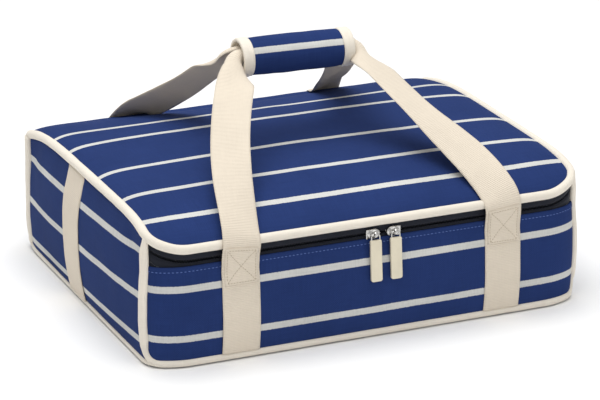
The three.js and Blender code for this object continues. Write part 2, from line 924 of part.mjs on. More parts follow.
add('base_panel', planPlate(-seamGap, 0, baseFabricThickness), fabric(navy));
add('base_board', planPlate(liningOuter, wallBottom, boardTop), plastic(0x3a3c40));
add('base_foam', planPlate(liningOuter, baseFoamBottom, baseFoamBottom + baseFoamThickness), fabric(foam));
add('front_panel', frontPanel(), fabric(navy));
add('back_panel', backPanel(), fabric(navy));
add('front_foam', flatFoam(-frontStraight + seamGap, frontStraight - seamGap), fabric(foam));
add('back_foam', flatFoam(backStart + seamGap, girth - backStart - seamGap), fabric(foam));
add('right_foam', flatFoam(endStart + seamGap, endFinish - seamGap), fabric(foam));
add('left_foam', flatFoam(girth - endFinish + seamGap, girth - endStart - seamGap), fabric(foam));
add('tub_lining', tubLining(), fabric(lining));
add('front_binding', wallSweep(uSeamPath(frontSeam, frontSeamRadius, 0, seamTop),
  halfRound(seamBindingWidth, seamBindingStand)), fabric(cream));
add('back_binding', wallSweep(uSeamPath(girth - backSeam, backSeamRadius, girth / 2, seamTop),
  halfRound(seamBindingWidth, seamBindingStand)), fabric(cream));

for (const [name, side] of [['left', -1], ['right', 1]]) {
  add(`${name}_end_panel`, endPanel(side), fabric(navy));
  add(`${name}_base_binding`, endBaseBinding(side), fabric(cream));
  add(`${name}_side_strap`, sideStrap(side), fabric(cream));
  add(`${name}_zip_stop`, zipStop(side), plastic(zipBlack));
  for (const face of ['front', 'back']) {
    add(`${face}_${name}_strap`, sewnStrap(face, side), fabric(cream));
    add(`${face}_${name}_patch`, sewnPatch(face, side), fabric(cream));
  }
}
add('lid_hinge_strip', hingeStrip(), fabric(navy));
add('zip_tape_lower', zipTapeLower(), fabric(zipBlack));
add('zip_coil_lower', zipCoil(-1), plastic(zipBlack));

add('lid_panel', lidSheet(lidPanelInset, 0, lidTop, panelThickness), fabric(navy));
add('lid_foam', lidSheet(lidFoamInset, lidFoamInset, lidFoamTop, lidFoamThickness), fabric(foam));
add('lid_lining', lidSheet(lidFoamInset, lidFoamInset, lidLiningTop, liningThickness), fabric(lining));
add('lid_binding', lidBinding(), fabric(cream));
add('zip_tape_upper', zipTapeUpper(), fabric(zipBlack));
add('zip_coil_upper', zipCoil(1), plastic(zipBlack));

add('front_handle_webbing', handleWebbing(-1), fabric(cream));
add('back_handle_webbing', handleWebbing(1), fabric(cream));
add('grip_sleeve', gripWrap(sleeveStart, sleeveEnd), fabric(navy));
add('grip_flap', gripWrap(flapStart, flapEnd), fabric(navy));
add('grip_loop_tape', gripTape(gripSeamAngle + gripGapAngle), fabric(zipBlack));
add('grip_hook_tape', gripTape(gripSeamAngle - gripTapeAngle), fabric(zipBlack));
for (const [name, side] of [['left', -1], ['right', 1]]) {
  add(`grip_sleeve_binding_${name}`, gripBinding(sleeveStart, sleeveEnd, side), fabric(cream));
  add(`grip_flap_binding_${name}`, gripBinding(flapStart, flapEnd, side), fabric(cream));
  const carrier = new THREE.Group();
  carrier.position.x = sliderMeet + (side * sliderSpacing) / 2;
  bag.add(carrier);
  add(`${name}_slider`, sliderBody(), metal(nickel), carrier);
  add(`${name}_pull_link`, pullLink(), metal(nickel), carrier);
  add(`${name}_pull_tab`, pullTab(), plastic(0xe2dacd), carrier);
}

// The origin is at the bottom centre of everything, sliders included.
const extent = new THREE.Box3().setFromObject(bag);
bag.position.y = -(extent.min.y + extent.max.y) / 2;

const part = new THREE.Group();
part.add(bag);

export default part;
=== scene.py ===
import math
from bisect import bisect_left
import bmesh
import bpy
from mathutils import Matrix, Vector, noise


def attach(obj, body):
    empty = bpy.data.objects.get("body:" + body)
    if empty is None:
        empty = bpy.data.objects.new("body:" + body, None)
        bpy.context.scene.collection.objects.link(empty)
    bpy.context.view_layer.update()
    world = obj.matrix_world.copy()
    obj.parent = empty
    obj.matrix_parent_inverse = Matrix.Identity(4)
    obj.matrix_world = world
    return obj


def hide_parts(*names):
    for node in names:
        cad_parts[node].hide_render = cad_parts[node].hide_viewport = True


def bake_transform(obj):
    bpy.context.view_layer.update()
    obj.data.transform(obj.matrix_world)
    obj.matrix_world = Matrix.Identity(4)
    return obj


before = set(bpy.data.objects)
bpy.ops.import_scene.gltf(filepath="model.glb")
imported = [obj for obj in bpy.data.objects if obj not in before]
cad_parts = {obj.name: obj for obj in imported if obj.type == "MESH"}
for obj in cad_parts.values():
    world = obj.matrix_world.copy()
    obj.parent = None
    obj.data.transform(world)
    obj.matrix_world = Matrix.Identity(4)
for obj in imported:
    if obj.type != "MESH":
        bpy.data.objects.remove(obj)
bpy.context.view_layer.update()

print("frame loaded")

# sizes of the bag, metres, in the frame of the solids
bag = {
    "halfWidth": 0.225,
    "halfDepth": 0.186,
    "rim": 0.117,          # middle of the lid's edge binding
    "arch": 0.022,         # rise of the lid halfway back
    "archPower": 4,
    "endArch": 4,          # more power at the ends, so that they stay high up to the front corners
    "endArchFrom": 0.15,
    "endArchOver": 0.075,
    "shoulder": 0.060,     # the front eases back before each corner
    "shoulderTurn": math.radians(30),
    "frontCorner": 0.020,
    "backCorner": 0.014,
    "seamTurn": math.radians(75),
    "backSeamIn": 0.021,   # from the back of the bag
    "zipEndIn": 0.045,
    "shift": 0.000926,     # the outline's middle along y
    "hem": 0.0994,         # top of the front panel
    "zip": 0.105,          # middle of the zip
    "backTop": 0.105,
    "endBelow": 0.0046,    # from the rim down to the top of the ends
    "strapIn": {"front": 0.088, "back": 0.110},
}
shoulderTurn = bag["shoulderTurn"]
inShoulder = bag["shoulder"] - bag["frontCorner"]
frontX = bag["halfWidth"] - bag["frontCorner"]
frontRun = frontX - inShoulder * math.sin(shoulderTurn)
shoulderY = -bag["halfDepth"] + bag["shoulder"]
cornerY = shoulderY - inShoulder * math.cos(shoulderTurn)
shoulderEnd = frontRun + bag["shoulder"] * shoulderTurn
endStart = shoulderEnd + bag["frontCorner"] * (math.pi / 2 - shoulderTurn)
endFinish = endStart + bag["halfDepth"] - bag["backCorner"] - cornerY
backStart = endFinish + bag["backCorner"] * math.pi / 2
halfGirth = backStart + bag["halfWidth"] - bag["backCorner"]     # round to the middle of the back
frontSeam = endStart - bag["frontCorner"] * (math.pi / 2 - bag["seamTurn"])
backSeam = endFinish + bag["backCorner"] - bag["backSeamIn"]
zipEnd = endFinish + bag["backCorner"] - bag["zipEndIn"]
strapX = {face: bag["halfWidth"] - inset for face, inset in bag["strapIn"].items()}


def clamp(t):
    return min(max(t, 0.0), 1.0)


def eased(t):
    t = clamp(t)
    return t * t * (3 - 2 * t)


def folded(s):
    # distance along the wall from the middle of the front, either way round
    return (s + halfGirth) % (2 * halfGirth) - halfGirth


def planAt(s):
    # place and outward direction on the bag's outline, seen from above
    s = folded(s)
    side = 1 if s >= 0 else -1
    d = abs(s)
    w, h = bag["halfWidth"], bag["halfDepth"]
    rs, rf, rb = bag["shoulder"], bag["frontCorner"], bag["backCorner"]
    if d <= frontRun:
        x, y, nx, ny = d, -h, 0, -1
    elif d <= shoulderEnd:
        a = (d - frontRun) / rs
        nx, ny = math.sin(a), -math.cos(a)
        x, y = frontRun + rs * nx, shoulderY + rs * ny
    elif d <= endStart:
        a = shoulderTurn + (d - shoulderEnd) / rf
        nx, ny = math.sin(a), -math.cos(a)
        x, y = frontX + rf * nx, cornerY + rf * ny
    elif d <= endFinish:
        x, y, nx, ny = w, cornerY + d - endStart, 1, 0
    elif d <= backStart:
        a = (d - endFinish) / rb
        nx, ny = math.cos(a), math.sin(a)
        x, y = w - rb + rb * nx, h - rb + rb * ny
    else:
        x, y, nx, ny = w - rb - (d - backStart), h, 0, 1
    return side * x, y, side * nx, ny


def outlineSpot(s, z, out):
    x, y, nx, ny = planAt(s)
    return Vector((x + nx * out, y + ny * out + bag["shift"], z))


def outwardAt(s):
    return Vector((*planAt(s)[2:], 0))


def archAt(x, y):
    power = bag["archPower"]
    if y < 0:
        power += bag["endArch"] * eased((abs(x) - bag["endArchFrom"]) / bag["endArchOver"])
    return bag["arch"] * (1 - abs(y / bag["halfDepth"]) ** power)


def archAlong(s):
    return archAt(*planAt(s)[:2])


def endTop(s):
    return bag["rim"] - bag["endBelow"] + archAlong(s)


def frontTop(s):
    return bag["hem"]


def backTop(s):
    # steps down from the ends just past the back seam
    t = eased((abs(folded(s)) - backSeam - 0.004) / 0.006)
    return endTop(s) + (bag["backTop"] - endTop(s)) * t


# the foam swells each face between its seams; nothing moves at the base or the rim
swell = {
    "front": 0.0060, "end": 0.0080, "back": 0.0060,
    "foot": 0.003, "frontTop": 0.094, "endRise": 0.096, "backTop": 0.100,
    "frontPast": 0.030, "backPast": 0.025,       # the swell would end this far beyond the seams
    "wrinkle": 0.0009,
}
backCorner = {"lift": 0.010, "reach": 0.017, "height": 0.040, "tuck": 0.35}   # soft, off the floor


def softOut(s, z):
    d = abs(folded(s))
    if d < frontSeam:
        top = swell["frontTop"]
        face = swell["front"] * math.cos(math.pi / 2 * d / (frontSeam + swell["frontPast"])) ** 0.8
    elif d < backSeam:
        t = (d - frontSeam) / (backSeam - frontSeam)
        top = swell["frontTop"] + (endTop(s) - swell["endRise"]) * eased(min(t, 1 - t) / 0.15)
        face = swell["end"] * math.sin(math.pi * (0.06 + 0.88 * t)) ** 0.7
    else:
        top = swell["backTop"]
        across = (halfGirth - d) / (halfGirth - backSeam + swell["backPast"])
        face = swell["back"] * math.cos(math.pi / 2 * across) ** 0.8
    rise = clamp((z - swell["foot"]) / (top - swell["foot"]))
    lift = max(math.sin(math.pi * rise), 0.0) ** 0.8
    x, y = planAt(s)[:2]
    ripple = noise.noise(Vector((x * 17 + 3, y * 17, z * 26)))
    ripple += 0.5 * noise.noise(Vector((x * 41, y * 41 + 7, z * 55)))
    return lift * (face + swell["wrinkle"] * ripple)


def cornerLift(s, z):
    away = abs(folded(s)) - endFinish - bag["backCorner"] * math.pi / 4
    near = math.exp(-(away / backCorner["reach"]) ** 2)
    return backCorner["lift"] * near * clamp(1 - z / backCorner["height"]) ** 2


def wallSpot(s, z, out=0.0):
    lift = cornerLift(s, z)
    return outlineSpot(s, z + lift, softOut(s, z) + out - backCorner["tuck"] * lift)


# shader helpers

def nodeOf(tree, kind, **values):
    # set out in rows of eight, in the order they are made
    at = len(tree.nodes)
    node = tree.nodes.new(kind)
    node.location = (at % 8 * 220 - 1200, -320 * (at // 8))
    for name, value in values.items():
        setattr(node, name, value)
    return node


def feed(tree, socket, value):
    if isinstance(value, bpy.types.NodeSocket):
        tree.links.new(value, socket)
    else:
        socket.default_value = value


def mathNode(tree, operation, *values):
    node = nodeOf(tree, "ShaderNodeMath", operation=operation)
    for socket, value in zip(node.inputs, values):
        feed(tree, socket, value)
    return node.outputs[0]


def newGroup(name, inputs, outputs):
    # an input without a value is a vector, everything else is a number
    tree = bpy.data.node_groups.new(name, "ShaderNodeTree")
    for label, value in inputs.items():
        kind = "NodeSocketVector" if value is None else "NodeSocketFloat"
        socket = tree.interface.new_socket(label, in_out="INPUT", socket_type=kind)
        if value is not None:
            socket.default_value = value
    for label in outputs:
        tree.interface.new_socket(label, in_out="OUTPUT", socket_type="NodeSocketFloat")
    return tree, nodeOf(tree, "NodeGroupInput"), nodeOf(tree, "NodeGroupOutput")


def ramped(tree, value, low, high):
    node = nodeOf(tree, "ShaderNodeMapRange", interpolation_type="SMOOTHSTEP")
    for label, given in (("Value", value), ("From Min", low), ("From Max", high)):
        feed(tree, node.inputs[label], given)
    return node.outputs["Result"]


def textured(tree, kind, vector, scale, detail=None, **values):
    node = nodeOf(tree, kind, **values)
    feed(tree, node.inputs["Vector"], vector)
    feed(tree, node.inputs["Scale"], scale)
    if detail is not None:
        feed(tree, node.inputs["Detail"], detail)
    return node


def splitXy(tree, vector):
    node = nodeOf(tree, "ShaderNodeSeparateXYZ")
    feed(tree, node.inputs[0], vector)
    return node.outputs["X"], node.outputs["Y"]


def buildWeaveGroup():
    # plain weave: over and under threads, with slubs along both
    tree, start, end = newGroup("plainWeave", {"Vector": None, "Pitch": 0.0011}, ["Height", "Tone"])
    waves = []
    for part in splitXy(tree, start.outputs["Vector"]):
        turns = mathNode(tree, "DIVIDE", part, start.outputs["Pitch"])
        waves.append(mathNode(tree, "SINE", mathNode(tree, "MULTIPLY", turns, math.pi)))
    height = mathNode(tree, "MULTIPLY_ADD", mathNode(tree, "MULTIPLY", *waves), 0.5, 0.5)
    slubs = []
    for stretched in ((40, 900, 1), (900, 40, 1)):
        mapping = nodeOf(tree, "ShaderNodeMapping")
        feed(tree, mapping.inputs["Scale"], stretched)
        feed(tree, mapping.inputs["Vector"], start.outputs["Vector"])
        slubs.append(textured(tree, "ShaderNodeTexNoise", mapping.outputs[0], 1.0, 3.0).outputs["Fac"])
    tone = mathNode(tree, "MULTIPLY", mathNode(tree, "ADD", *slubs), 0.5)
    feed(tree, end.inputs["Height"], mathNode(tree, "MULTIPLY_ADD", tone, 0.6, height))
    feed(tree, end.inputs["Tone"], tone)
    return tree


stripeSlots = ["Stripe %d" % (i + 1) for i in range(5)]


def buildStripeGroup():
    # woven stripes across one coordinate, with slightly uneven edges
    inputs = {"Coordinate": 0.0, "Vector": None, "Width": 0.007}
    inputs.update({label: 9.0 for label in stripeSlots})      # unused ones lie far off the cloth
    tree, start, end = newGroup("wovenStripes", inputs, ["Mask"])
    ragged = textured(tree, "ShaderNodeTexNoise", start.outputs["Vector"], 700.0, 2.0)
    jitter = mathNode(tree, "MULTIPLY_ADD", ragged.outputs["Fac"], 0.0012, -0.0006)
    at = mathNode(tree, "ADD", start.outputs["Coordinate"], jitter)
    half = mathNode(tree, "MULTIPLY", start.outputs["Width"], 0.5)
    total = 0.0
    for label in stripeSlots:
        away = mathNode(tree, "ABSOLUTE", mathNode(tree, "SUBTRACT", at, start.outputs[label]))
        mask = ramped(tree, mathNode(tree, "SUBTRACT", half, away), -0.0003, 0.0003)
        total = mathNode(tree, "MAXIMUM", total, mask)
    feed(tree, end.inputs["Mask"], total)
    return tree


def buildMottleGroup():
    # soft, broad colour change from handling
    tree, start, end = newGroup("handled", {"Vector": None, "Scale": 9.0}, ["Tone"])
    broad = textured(tree, "ShaderNodeTexNoise", start.outputs["Vector"], start.outputs["Scale"], 4.0)
    feed(tree, broad.inputs["Roughness"], 0.6)
    feed(tree, end.inputs["Tone"], ramped(tree, broad.outputs["Fac"], 0.25, 0.75))
    return tree


weaveGroup = buildWeaveGroup()
stripeGroup = buildStripeGroup()
mottleGroup = buildMottleGroup()


def newMaterial(name, **sockets):
    material = bpy.data.materials.new(name)
    material.use_nodes = True
    tree = material.node_tree
    shader = tree.nodes["Principled BSDF"]
    shader.location = (900, 300)
    tree.nodes["Material Output"].location = (1200, 300)
    for label, value in sockets.items():
        feed(tree, shader.inputs[label.replace("_", " ")], value)
    return material, tree, shader


def coordsOf(tree):
    node = nodeOf(tree, "ShaderNodeTexCoord")
    return node.outputs["UV"], node.outputs["Object"]


def placed(tree, group, **values):
    node = nodeOf(tree, "ShaderNodeGroup", node_tree=group)
    for label, value in values.items():
        feed(tree, node.inputs[label], value)
    return node


def mixed(tree, factor, first, second):
    node = nodeOf(tree, "ShaderNodeMix", data_type="RGBA")
    feed(tree, node.inputs["Factor"], factor)
    for label, value in (("A", first), ("B", second)):
        feed(tree, [s for s in node.inputs if s.name == label and s.type == "RGBA"][0], value)
    return [s for s in node.outputs if s.type == "RGBA"][0]


def shaded(tree, colour, tone, amount):
    # darkens or lightens a colour by a tone around one half
    node = nodeOf(tree, "ShaderNodeVectorMath", operation="SCALE")
    feed(tree, node.inputs[0], colour[:3] if isinstance(colour, tuple) else colour)
    feed(tree, node.inputs["Scale"], mathNode(tree, "MULTIPLY_ADD", tone, amount, 1 - amount / 2))
    return node.outputs[0]


def bumped(tree, shader, height, distance, strength=0.5):
    bump = nodeOf(tree, "ShaderNodeBump")
    for label, value in (("Strength", strength), ("Distance", distance), ("Height", height)):
        feed(tree, bump.inputs[label], value)
    feed(tree, shader.inputs["Normal"], bump.outputs["Normal"])


canvas = {
    "navy": (0.0180, 0.0375, 0.138, 1),
    "stripe": (0.60, 0.60, 0.575, 1),
    "pitch": 0.0010,
    "stripeWidth": 0.0068,
}


def canvasMaterial(name, stripes):
    material, tree, shader = newMaterial(
        name, Roughness=0.82, Sheen_Weight=0.02, Sheen_Roughness=0.5, Sheen_Tint=(0.75, 0.85, 1, 1),
        Specular_IOR_Level=0.05)
    cloth, spot = coordsOf(tree)
    weave = placed(tree, weaveGroup, Vector=cloth, Pitch=canvas["pitch"])
    mottle = placed(tree, mottleGroup, Vector=spot, Scale=11.0)
    up = splitXy(tree, cloth)[1]
    band = placed(tree, stripeGroup, Vector=cloth, Coordinate=up, Width=canvas["stripeWidth"])
    for label, centre in zip(stripeSlots, stripes):
        feed(tree, band.inputs[label], centre)
    colour = mixed(tree, band.outputs["Mask"], canvas["navy"], canvas["stripe"])
    colour = shaded(tree, colour, weave.outputs["Tone"], 0.55)
    colour = shaded(tree, colour, mottle.outputs["Tone"], 0.14)
    feed(tree, shader.inputs["Base Color"], colour)
    bumped(tree, shader, weave.outputs["Height"], 0.00025)
    return material


def creamMaterial(name, colour, rib, ribDepth):
    # cotton webbing and binding: ribs across the run, fine threads along it
    material, tree, shader = newMaterial(
        name, Roughness=0.8, Sheen_Weight=0.1, Sheen_Roughness=0.5, Specular_IOR_Level=0.3)
    cloth, spot = coordsOf(tree)
    across, along = splitXy(tree, cloth)
    wave = mathNode(tree, "SINE", mathNode(tree, "MULTIPLY", along, 2 * math.pi / rib))
    fine = mathNode(tree, "SINE", mathNode(tree, "MULTIPLY", across, 2 * math.pi / (rib * 0.7)))
    mottle = placed(tree, mottleGroup, Vector=spot, Scale=16.0)
    weave = placed(tree, weaveGroup, Vector=cloth, Pitch=rib * 0.5)
    # painted shade: the colour darkens in the grooves between the ribs
    tint = shaded(tree, colour, ramped(tree, wave, -1.0, 0.2), 0.06)
    tint = shaded(tree, tint, weave.outputs["Tone"], 0.16)
    tint = shaded(tree, tint, mottle.outputs["Tone"], 0.07)
    feed(tree, shader.inputs["Base Color"], tint)
    bumped(tree, shader, mathNode(tree, "MULTIPLY_ADD", fine, 0.35, wave), ribDepth, 0.6)
    return material


def plainCloth(name, colour, pitch, roughness, sheen=0.1):
    material, tree, shader = newMaterial(
        name, Roughness=roughness, Sheen_Weight=sheen, Specular_IOR_Level=0.25)
    cloth, spot = coordsOf(tree)
    weave = placed(tree, weaveGroup, Vector=cloth, Pitch=pitch)
    mottle = placed(tree, mottleGroup, Vector=spot, Scale=14.0)
    tint = shaded(tree, colour, weave.outputs["Tone"], 0.5)
    tint = shaded(tree, tint, mottle.outputs["Tone"], 0.15)
    feed(tree, shader.inputs["Base Color"], tint)
    bumped(tree, shader, weave.outputs["Height"], 0.0002)
    return material


def glossed(tree, shader, colour, tone, shade, roughTone, roughness):
    # colour and gloss of the smooth materials; roughness is a share of a tone and what is added to it
    feed(tree, shader.inputs["Base Color"], shaded(tree, colour, tone, shade))
    feed(tree, shader.inputs["Roughness"], mathNode(tree, "MULTIPLY_ADD", roughTone, *roughness))


def liningMaterial():
    # coated insulating lining: crinkled, with a soft metallic gloss
    material, tree, shader = newMaterial("silverLining", Metallic=0.35, Specular_IOR_Level=0.5)
    spot = coordsOf(tree)[1]
    crinkle = textured(tree, "ShaderNodeTexVoronoi", spot, 95.0, feature="SMOOTH_F1")
    fine = textured(tree, "ShaderNodeTexNoise", spot, 60.0, 5.0).outputs["Fac"]
    mottle = placed(tree, mottleGroup, Vector=spot, Scale=8.0)
    glossed(tree, shader, (0.56, 0.57, 0.58, 1), mottle.outputs["Tone"], 0.18, fine, (0.25, 0.3))
    height = mathNode(tree, "MULTIPLY_ADD", fine, 0.8, crinkle.outputs["Distance"])
    bumped(tree, shader, height, 0.0012)
    return material


def nickelMaterial():
    material, tree, shader = newMaterial("nickelPlate", Metallic=1.0)
    scuff = textured(tree, "ShaderNodeTexNoise", coordsOf(tree)[1], 420.0, 4.0).outputs["Fac"]
    glossed(tree, shader, (0.60, 0.59, 0.57, 1), scuff, 0.25, scuff, (0.25, 0.14))
    bumped(tree, shader, scuff, 0.00006, 0.4)
    return material


def tabMaterial():
    # smooth pull leather, a little glossy, with fine grain
    material, tree, shader = newMaterial("pullLeather", Specular_IOR_Level=0.45)
    spot = coordsOf(tree)[1]
    grain = textured(tree, "ShaderNodeTexVoronoi", spot, 1500.0, feature="F1")
    tone = placed(tree, mottleGroup, Vector=spot, Scale=60.0).outputs["Tone"]
    glossed(tree, shader, (0.76, 0.69, 0.53, 1), tone, 0.1, tone, (0.12, 0.34))
    bumped(tree, shader, grain.outputs["Distance"], 0.00008, 0.4)
    return material


# stripes are heights on the walls, depths on the lid, distance round the grip
frontCanvas = canvasMaterial("frontCanvas", [0.0792, 0.0297])
endCanvas = canvasMaterial("endCanvas", [0.1125, 0.0685, 0.0235])
lidCanvas = canvasMaterial("lidCanvas", [0.099, 0.053, -0.031, -0.098, -0.150])
gripCanvas = canvasMaterial("gripCanvas", [0.0510])
webbingCotton = creamMaterial("webbingCotton", (0.735, 0.650, 0.533, 1), 0.0017, 0.00022)
# painted shade: a warmer copy of the webbing colour for its reverse side, standing in for the warm shade under the
# handles
webbingReversePaintedShade = creamMaterial("webbingReversePaintedShade", (0.80, 0.68, 0.515, 1), 0.0017, 0.00022)
bindingCotton = creamMaterial("bindingCotton", (0.85, 0.785, 0.68, 1), 0.0011, 0.00018)
zipCloth = plainCloth("zipCloth", (0.008, 0.010, 0.018, 1), 0.0007, 0.8)
coilNylon = plainCloth("coilNylon", (0.010, 0.012, 0.020, 1), 0.0005, 0.4, 0.0)
innerCanvas = plainCloth("innerCanvas", (0.03, 0.045, 0.14, 1), 0.001, 0.85)
hookCloth = plainCloth("hookCloth", (0.012, 0.014, 0.024, 1), 0.0014, 0.95)
blueThread = plainCloth("blueThread", (0.12, 0.20, 0.50, 1), 0.0004, 0.6)
creamThread = plainCloth("creamThread", (0.50, 0.42, 0.31, 1), 0.0004, 0.6)
silverLining = liningMaterial()
nickelPlate = nickelMaterial()
pullLeather = tabMaterial()
print("materials made")


# mesh helpers

def startMesh():
    bm = bmesh.new()
    bm.loops.layers.uv.new("UVMap")
    return bm


def clothGrid(bm, columns, rows, place, cloth, material=0):
    # a grid laid on a surface, with its real size in the UV map
    made = bmesh.ops.create_grid(bm, x_segments=columns, y_segments=rows, size=0.5, calc_uvs=True)
    spots = {v: (v.co.x + 0.5, v.co.y + 0.5) for v in made["verts"]}
    uv = bm.loops.layers.uv.active
    for f in {f for v in made["verts"] for f in v.link_faces}:
        f.material_index = material
        for loop in f.loops:
            loop[uv].uv = cloth(*spots[loop.vert])
    for v, (a, b) in spots.items():
        v.co = place(a, b)
    return made["verts"]


def welded(bm, verts):
    bmesh.ops.remove_doubles(bm, verts=verts, dist=1e-7)


def walkedLengths(points):
    lengths = [0.0]
    for a, b in zip(points, points[1:]):
        lengths.append(lengths[-1] + (b - a).length)
    return lengths


def stepAt(lengths, at):
    # the step that a distance falls in, and how far along that step
    k = min(max(bisect_left(lengths, at) - 1, 0), len(lengths) - 2)
    return k, (at - lengths[k]) / max(lengths[k + 1] - lengths[k], 1e-12)


def sweep(bm, centres, section):
    # carries a closed section along a run of (centre, across, outward); section(j) is a list of offsets
    rows = len(centres) - 1
    first = section(0)
    count = len(first)
    lengths = walkedLengths([row[0] for row in centres])
    around = [0.0]
    for i in range(count):
        a, b = first[i], first[(i + 1) % count]
        around.append(around[-1] + math.hypot(b[0] - a[0], b[1] - a[1]))

    def place(a, b):
        i, j = round(a * count), round(b * rows)
        centre, across, outward = centres[j]
        u, o = section(j)[i % count]
        return centre + across * u + outward * o

    def cloth(a, b):
        return (around[round(a * count)], lengths[round(b * rows)])

    verts = clothGrid(bm, count, rows, place, cloth)
    welded(bm, verts)
    rims = list({e for v in verts if v.is_valid for e in v.link_edges if e.is_boundary})
    if rims:
        bmesh.ops.holes_fill(bm, edges=rims, sides=0)


def makePiece(bm, name, *materials):
    mesh = bpy.data.meshes.new(name)
    bm.to_mesh(mesh)
    bm.free()
    mesh.polygons.foreach_set("use_smooth", [True] * len(mesh.polygons))
    for material in materials:
        mesh.materials.append(material)
    piece = bpy.data.objects.new(name, mesh)
    bpy.context.collection.objects.link(piece)
    return piece


def outwards(bm):
    bmesh.ops.recalc_face_normals(bm, faces=bm.faces[:])


def thicken(piece, thickness):
    wall = piece.modifiers.new("thickness", "SOLIDIFY")
    wall.thickness = thickness
    wall.offset = -1
    wall.use_rim = True


def standsFor(piece, body, slot, *nodes):
    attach(piece, body)
    if nodes:
        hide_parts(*nodes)
    return piece


def closedPiece(bm, name, material, body, slot, *nodes):
    outwards(bm)
    return standsFor(makePiece(bm, name, material), body, slot, *nodes)


def spaced(start, finish, step):
    count = max(1, math.ceil(abs(finish - start) / step))
    return [start + (finish - start) * i / count for i in range(count + 1)]


def ovalSection(wide, high, sides):
    turns = [2 * math.pi * k / sides for k in range(sides)]
    return [(wide * math.cos(a), high * math.sin(a)) for a in turns]


def bead(bm, centre, along, across, up, size):
    # a small egg, for a tooth or a stitch
    turned = Matrix((along, across, up)).transposed().to_4x4()
    matrix = Matrix.Translation(centre) @ turned @ Matrix.Diagonal((*size, 1))
    bmesh.ops.create_icosphere(bm, subdivisions=1, radius=1, matrix=matrix)


# wall panels

wallCloth = {
    "step": 0.004, "rows": 26, "thickness": 0.0016,
    "foot": 0.005, "endFoot": 0.0035, "endOver": 0.002,
    "hemRadius": 0.0014, "hemFrom": 0.86, "tuckFrom": 0.97, "tuck": 0.010,   # the last rows fold over
    "endSlope": 0.0100,         # the ends' stripes fall towards the back
}
seamBend = {"front": 0.015, "back": 0.007}     # where a seam turns up from the base


def panelBase(d, seam, radius):
    # lower edge of a panel whose seam turns up at its end
    past = d - (seam - radius)
    if past <= 0:
        return wallCloth["foot"]
    return wallCloth["foot"] + radius - math.sqrt(max(radius * radius - past * past, 0.0))


def wallPanel(name, start, finish, low, high, material, hem=False, slope=0.0):
    bm = startMesh()
    columns = math.ceil(abs(finish - start) / wallCloth["step"])
    foldAt = wallCloth["hemFrom"] if hem else 1.0

    def spot(a, b):
        s = start + (finish - start) * a
        top = high(s)
        if b <= foldAt:
            return s, low(s) + (top - low(s)) * (b / foldAt), 0.0
        angle = math.pi * (b - foldAt) / (1 - foldAt)
        r = wallCloth["hemRadius"]
        drop = wallCloth["tuck"] * max(0.0, (b - wallCloth["tuckFrom"]) / (1 - wallCloth["tuckFrom"]))
        return s, top + r * math.sin(angle) - drop, -r * (1 - math.cos(angle))

    def cloth(a, b):
        s, z, out = spot(a, b)
        return (s, z + slope * clamp((abs(folded(s)) - frontSeam) / (backSeam - frontSeam)))

    clothGrid(bm, columns, wallCloth["rows"], lambda a, b: wallSpot(*spot(a, b)), cloth)
    piece = makePiece(bm, name, material)
    thicken(piece, wallCloth["thickness"])
    return piece


def frontLow(s):
    return panelBase(abs(s), frontSeam, seamBend["front"])


def backLow(s):
    return panelBase(abs(s - halfGirth), halfGirth - backSeam, seamBend["back"])


def endLow(s):
    return wallCloth["endFoot"]


def endHigh(s):
    return endTop(s) + wallCloth["endOver"]


frontCloth = wallPanel("front_canvas", -frontSeam, frontSeam, frontLow, frontTop, frontCanvas, hem=True)
standsFor(frontCloth, "bag_body", "navy_canvas", "front_panel", "front_foam")
backCloth = wallPanel("back_canvas", backSeam, 2 * halfGirth - backSeam, backLow, backTop, frontCanvas)
standsFor(backCloth, "bag_body", "navy_canvas", "back_panel", "back_foam")
for label, start, finish in (("right", frontSeam, backSeam),
                             ("left", 2 * halfGirth - backSeam, 2 * halfGirth - frontSeam)):
    endCloth = wallPanel("%s_end_canvas" % label, start, finish, endLow, endHigh, endCanvas,
                         slope=wallCloth["endSlope"])
    standsFor(endCloth, "bag_body", "navy_canvas", "%s_end_panel" % label, "%s_foam" % label)
print("walls made")


# base: fabric pulled over a board

base = {"grid": (60, 56), "inset": 0.0015, "height": 0.0004, "thickness": 0.0012,
        "edgeLift": 0.0012, "edgeReach": 0.004, "cornerReach": 0.018}


def halfWidthAt(y, inset, backInset):
    # half width of the bag's outline at a depth, drawn in by an inset
    rs, rf = bag["shoulder"] - inset, bag["frontCorner"] - inset
    rb = max(bag["backCorner"] - backInset, 0.003)
    back = bag["halfDepth"] - backInset - rb
    if y < shoulderY - rs * math.cos(shoulderTurn):
        return frontRun + math.sqrt(max(rs * rs - (shoulderY - y) ** 2, 0))
    if y < cornerY:
        return frontX + math.sqrt(max(rf * rf - (cornerY - y) ** 2, 0))
    if y > back:
        return bag["halfWidth"] - inset - rb + math.sqrt(max(rb * rb - (y - back) ** 2, 0))
    return bag["halfWidth"] - inset


def planSpot(a, b, inset, backInset):
    # a grid over the outline, closer towards the front and back
    low, high = -bag["halfDepth"] + inset, bag["halfDepth"] - backInset
    t = 2 * b - 1
    y = (low + high) / 2 + (high - low) / 2 * (0.45 * math.sin(t * math.pi / 2) + 0.55 * t)
    return (2 * a - 1) * halfWidthAt(y, inset, backInset), y


def baseCloth():
    bm = startMesh()

    def flat(a, b):
        return planSpot(a, b, base["inset"], base["inset"])

    def place(a, b):
        x, y = flat(a, b)
        edge = min(bag["halfWidth"] - abs(x), bag["halfDepth"] - abs(y))
        away = math.hypot(bag["halfWidth"] - abs(x), bag["halfDepth"] - y)
        lift = base["edgeLift"] * math.exp(-edge / base["edgeReach"])
        lift += backCorner["lift"] * math.exp(-(away / base["cornerReach"]) ** 2)
        return Vector((x, y + bag["shift"], base["height"] + lift))

    clothGrid(bm, *base["grid"], place, flat)
    bmesh.ops.reverse_faces(bm, faces=bm.faces[:])
    piece = makePiece(bm, "base_canvas", innerCanvas)
    thicken(piece, base["thickness"])
    return piece


standsFor(baseCloth(), "bag_body", "navy_canvas", "base_panel", "base_board", "base_foam")


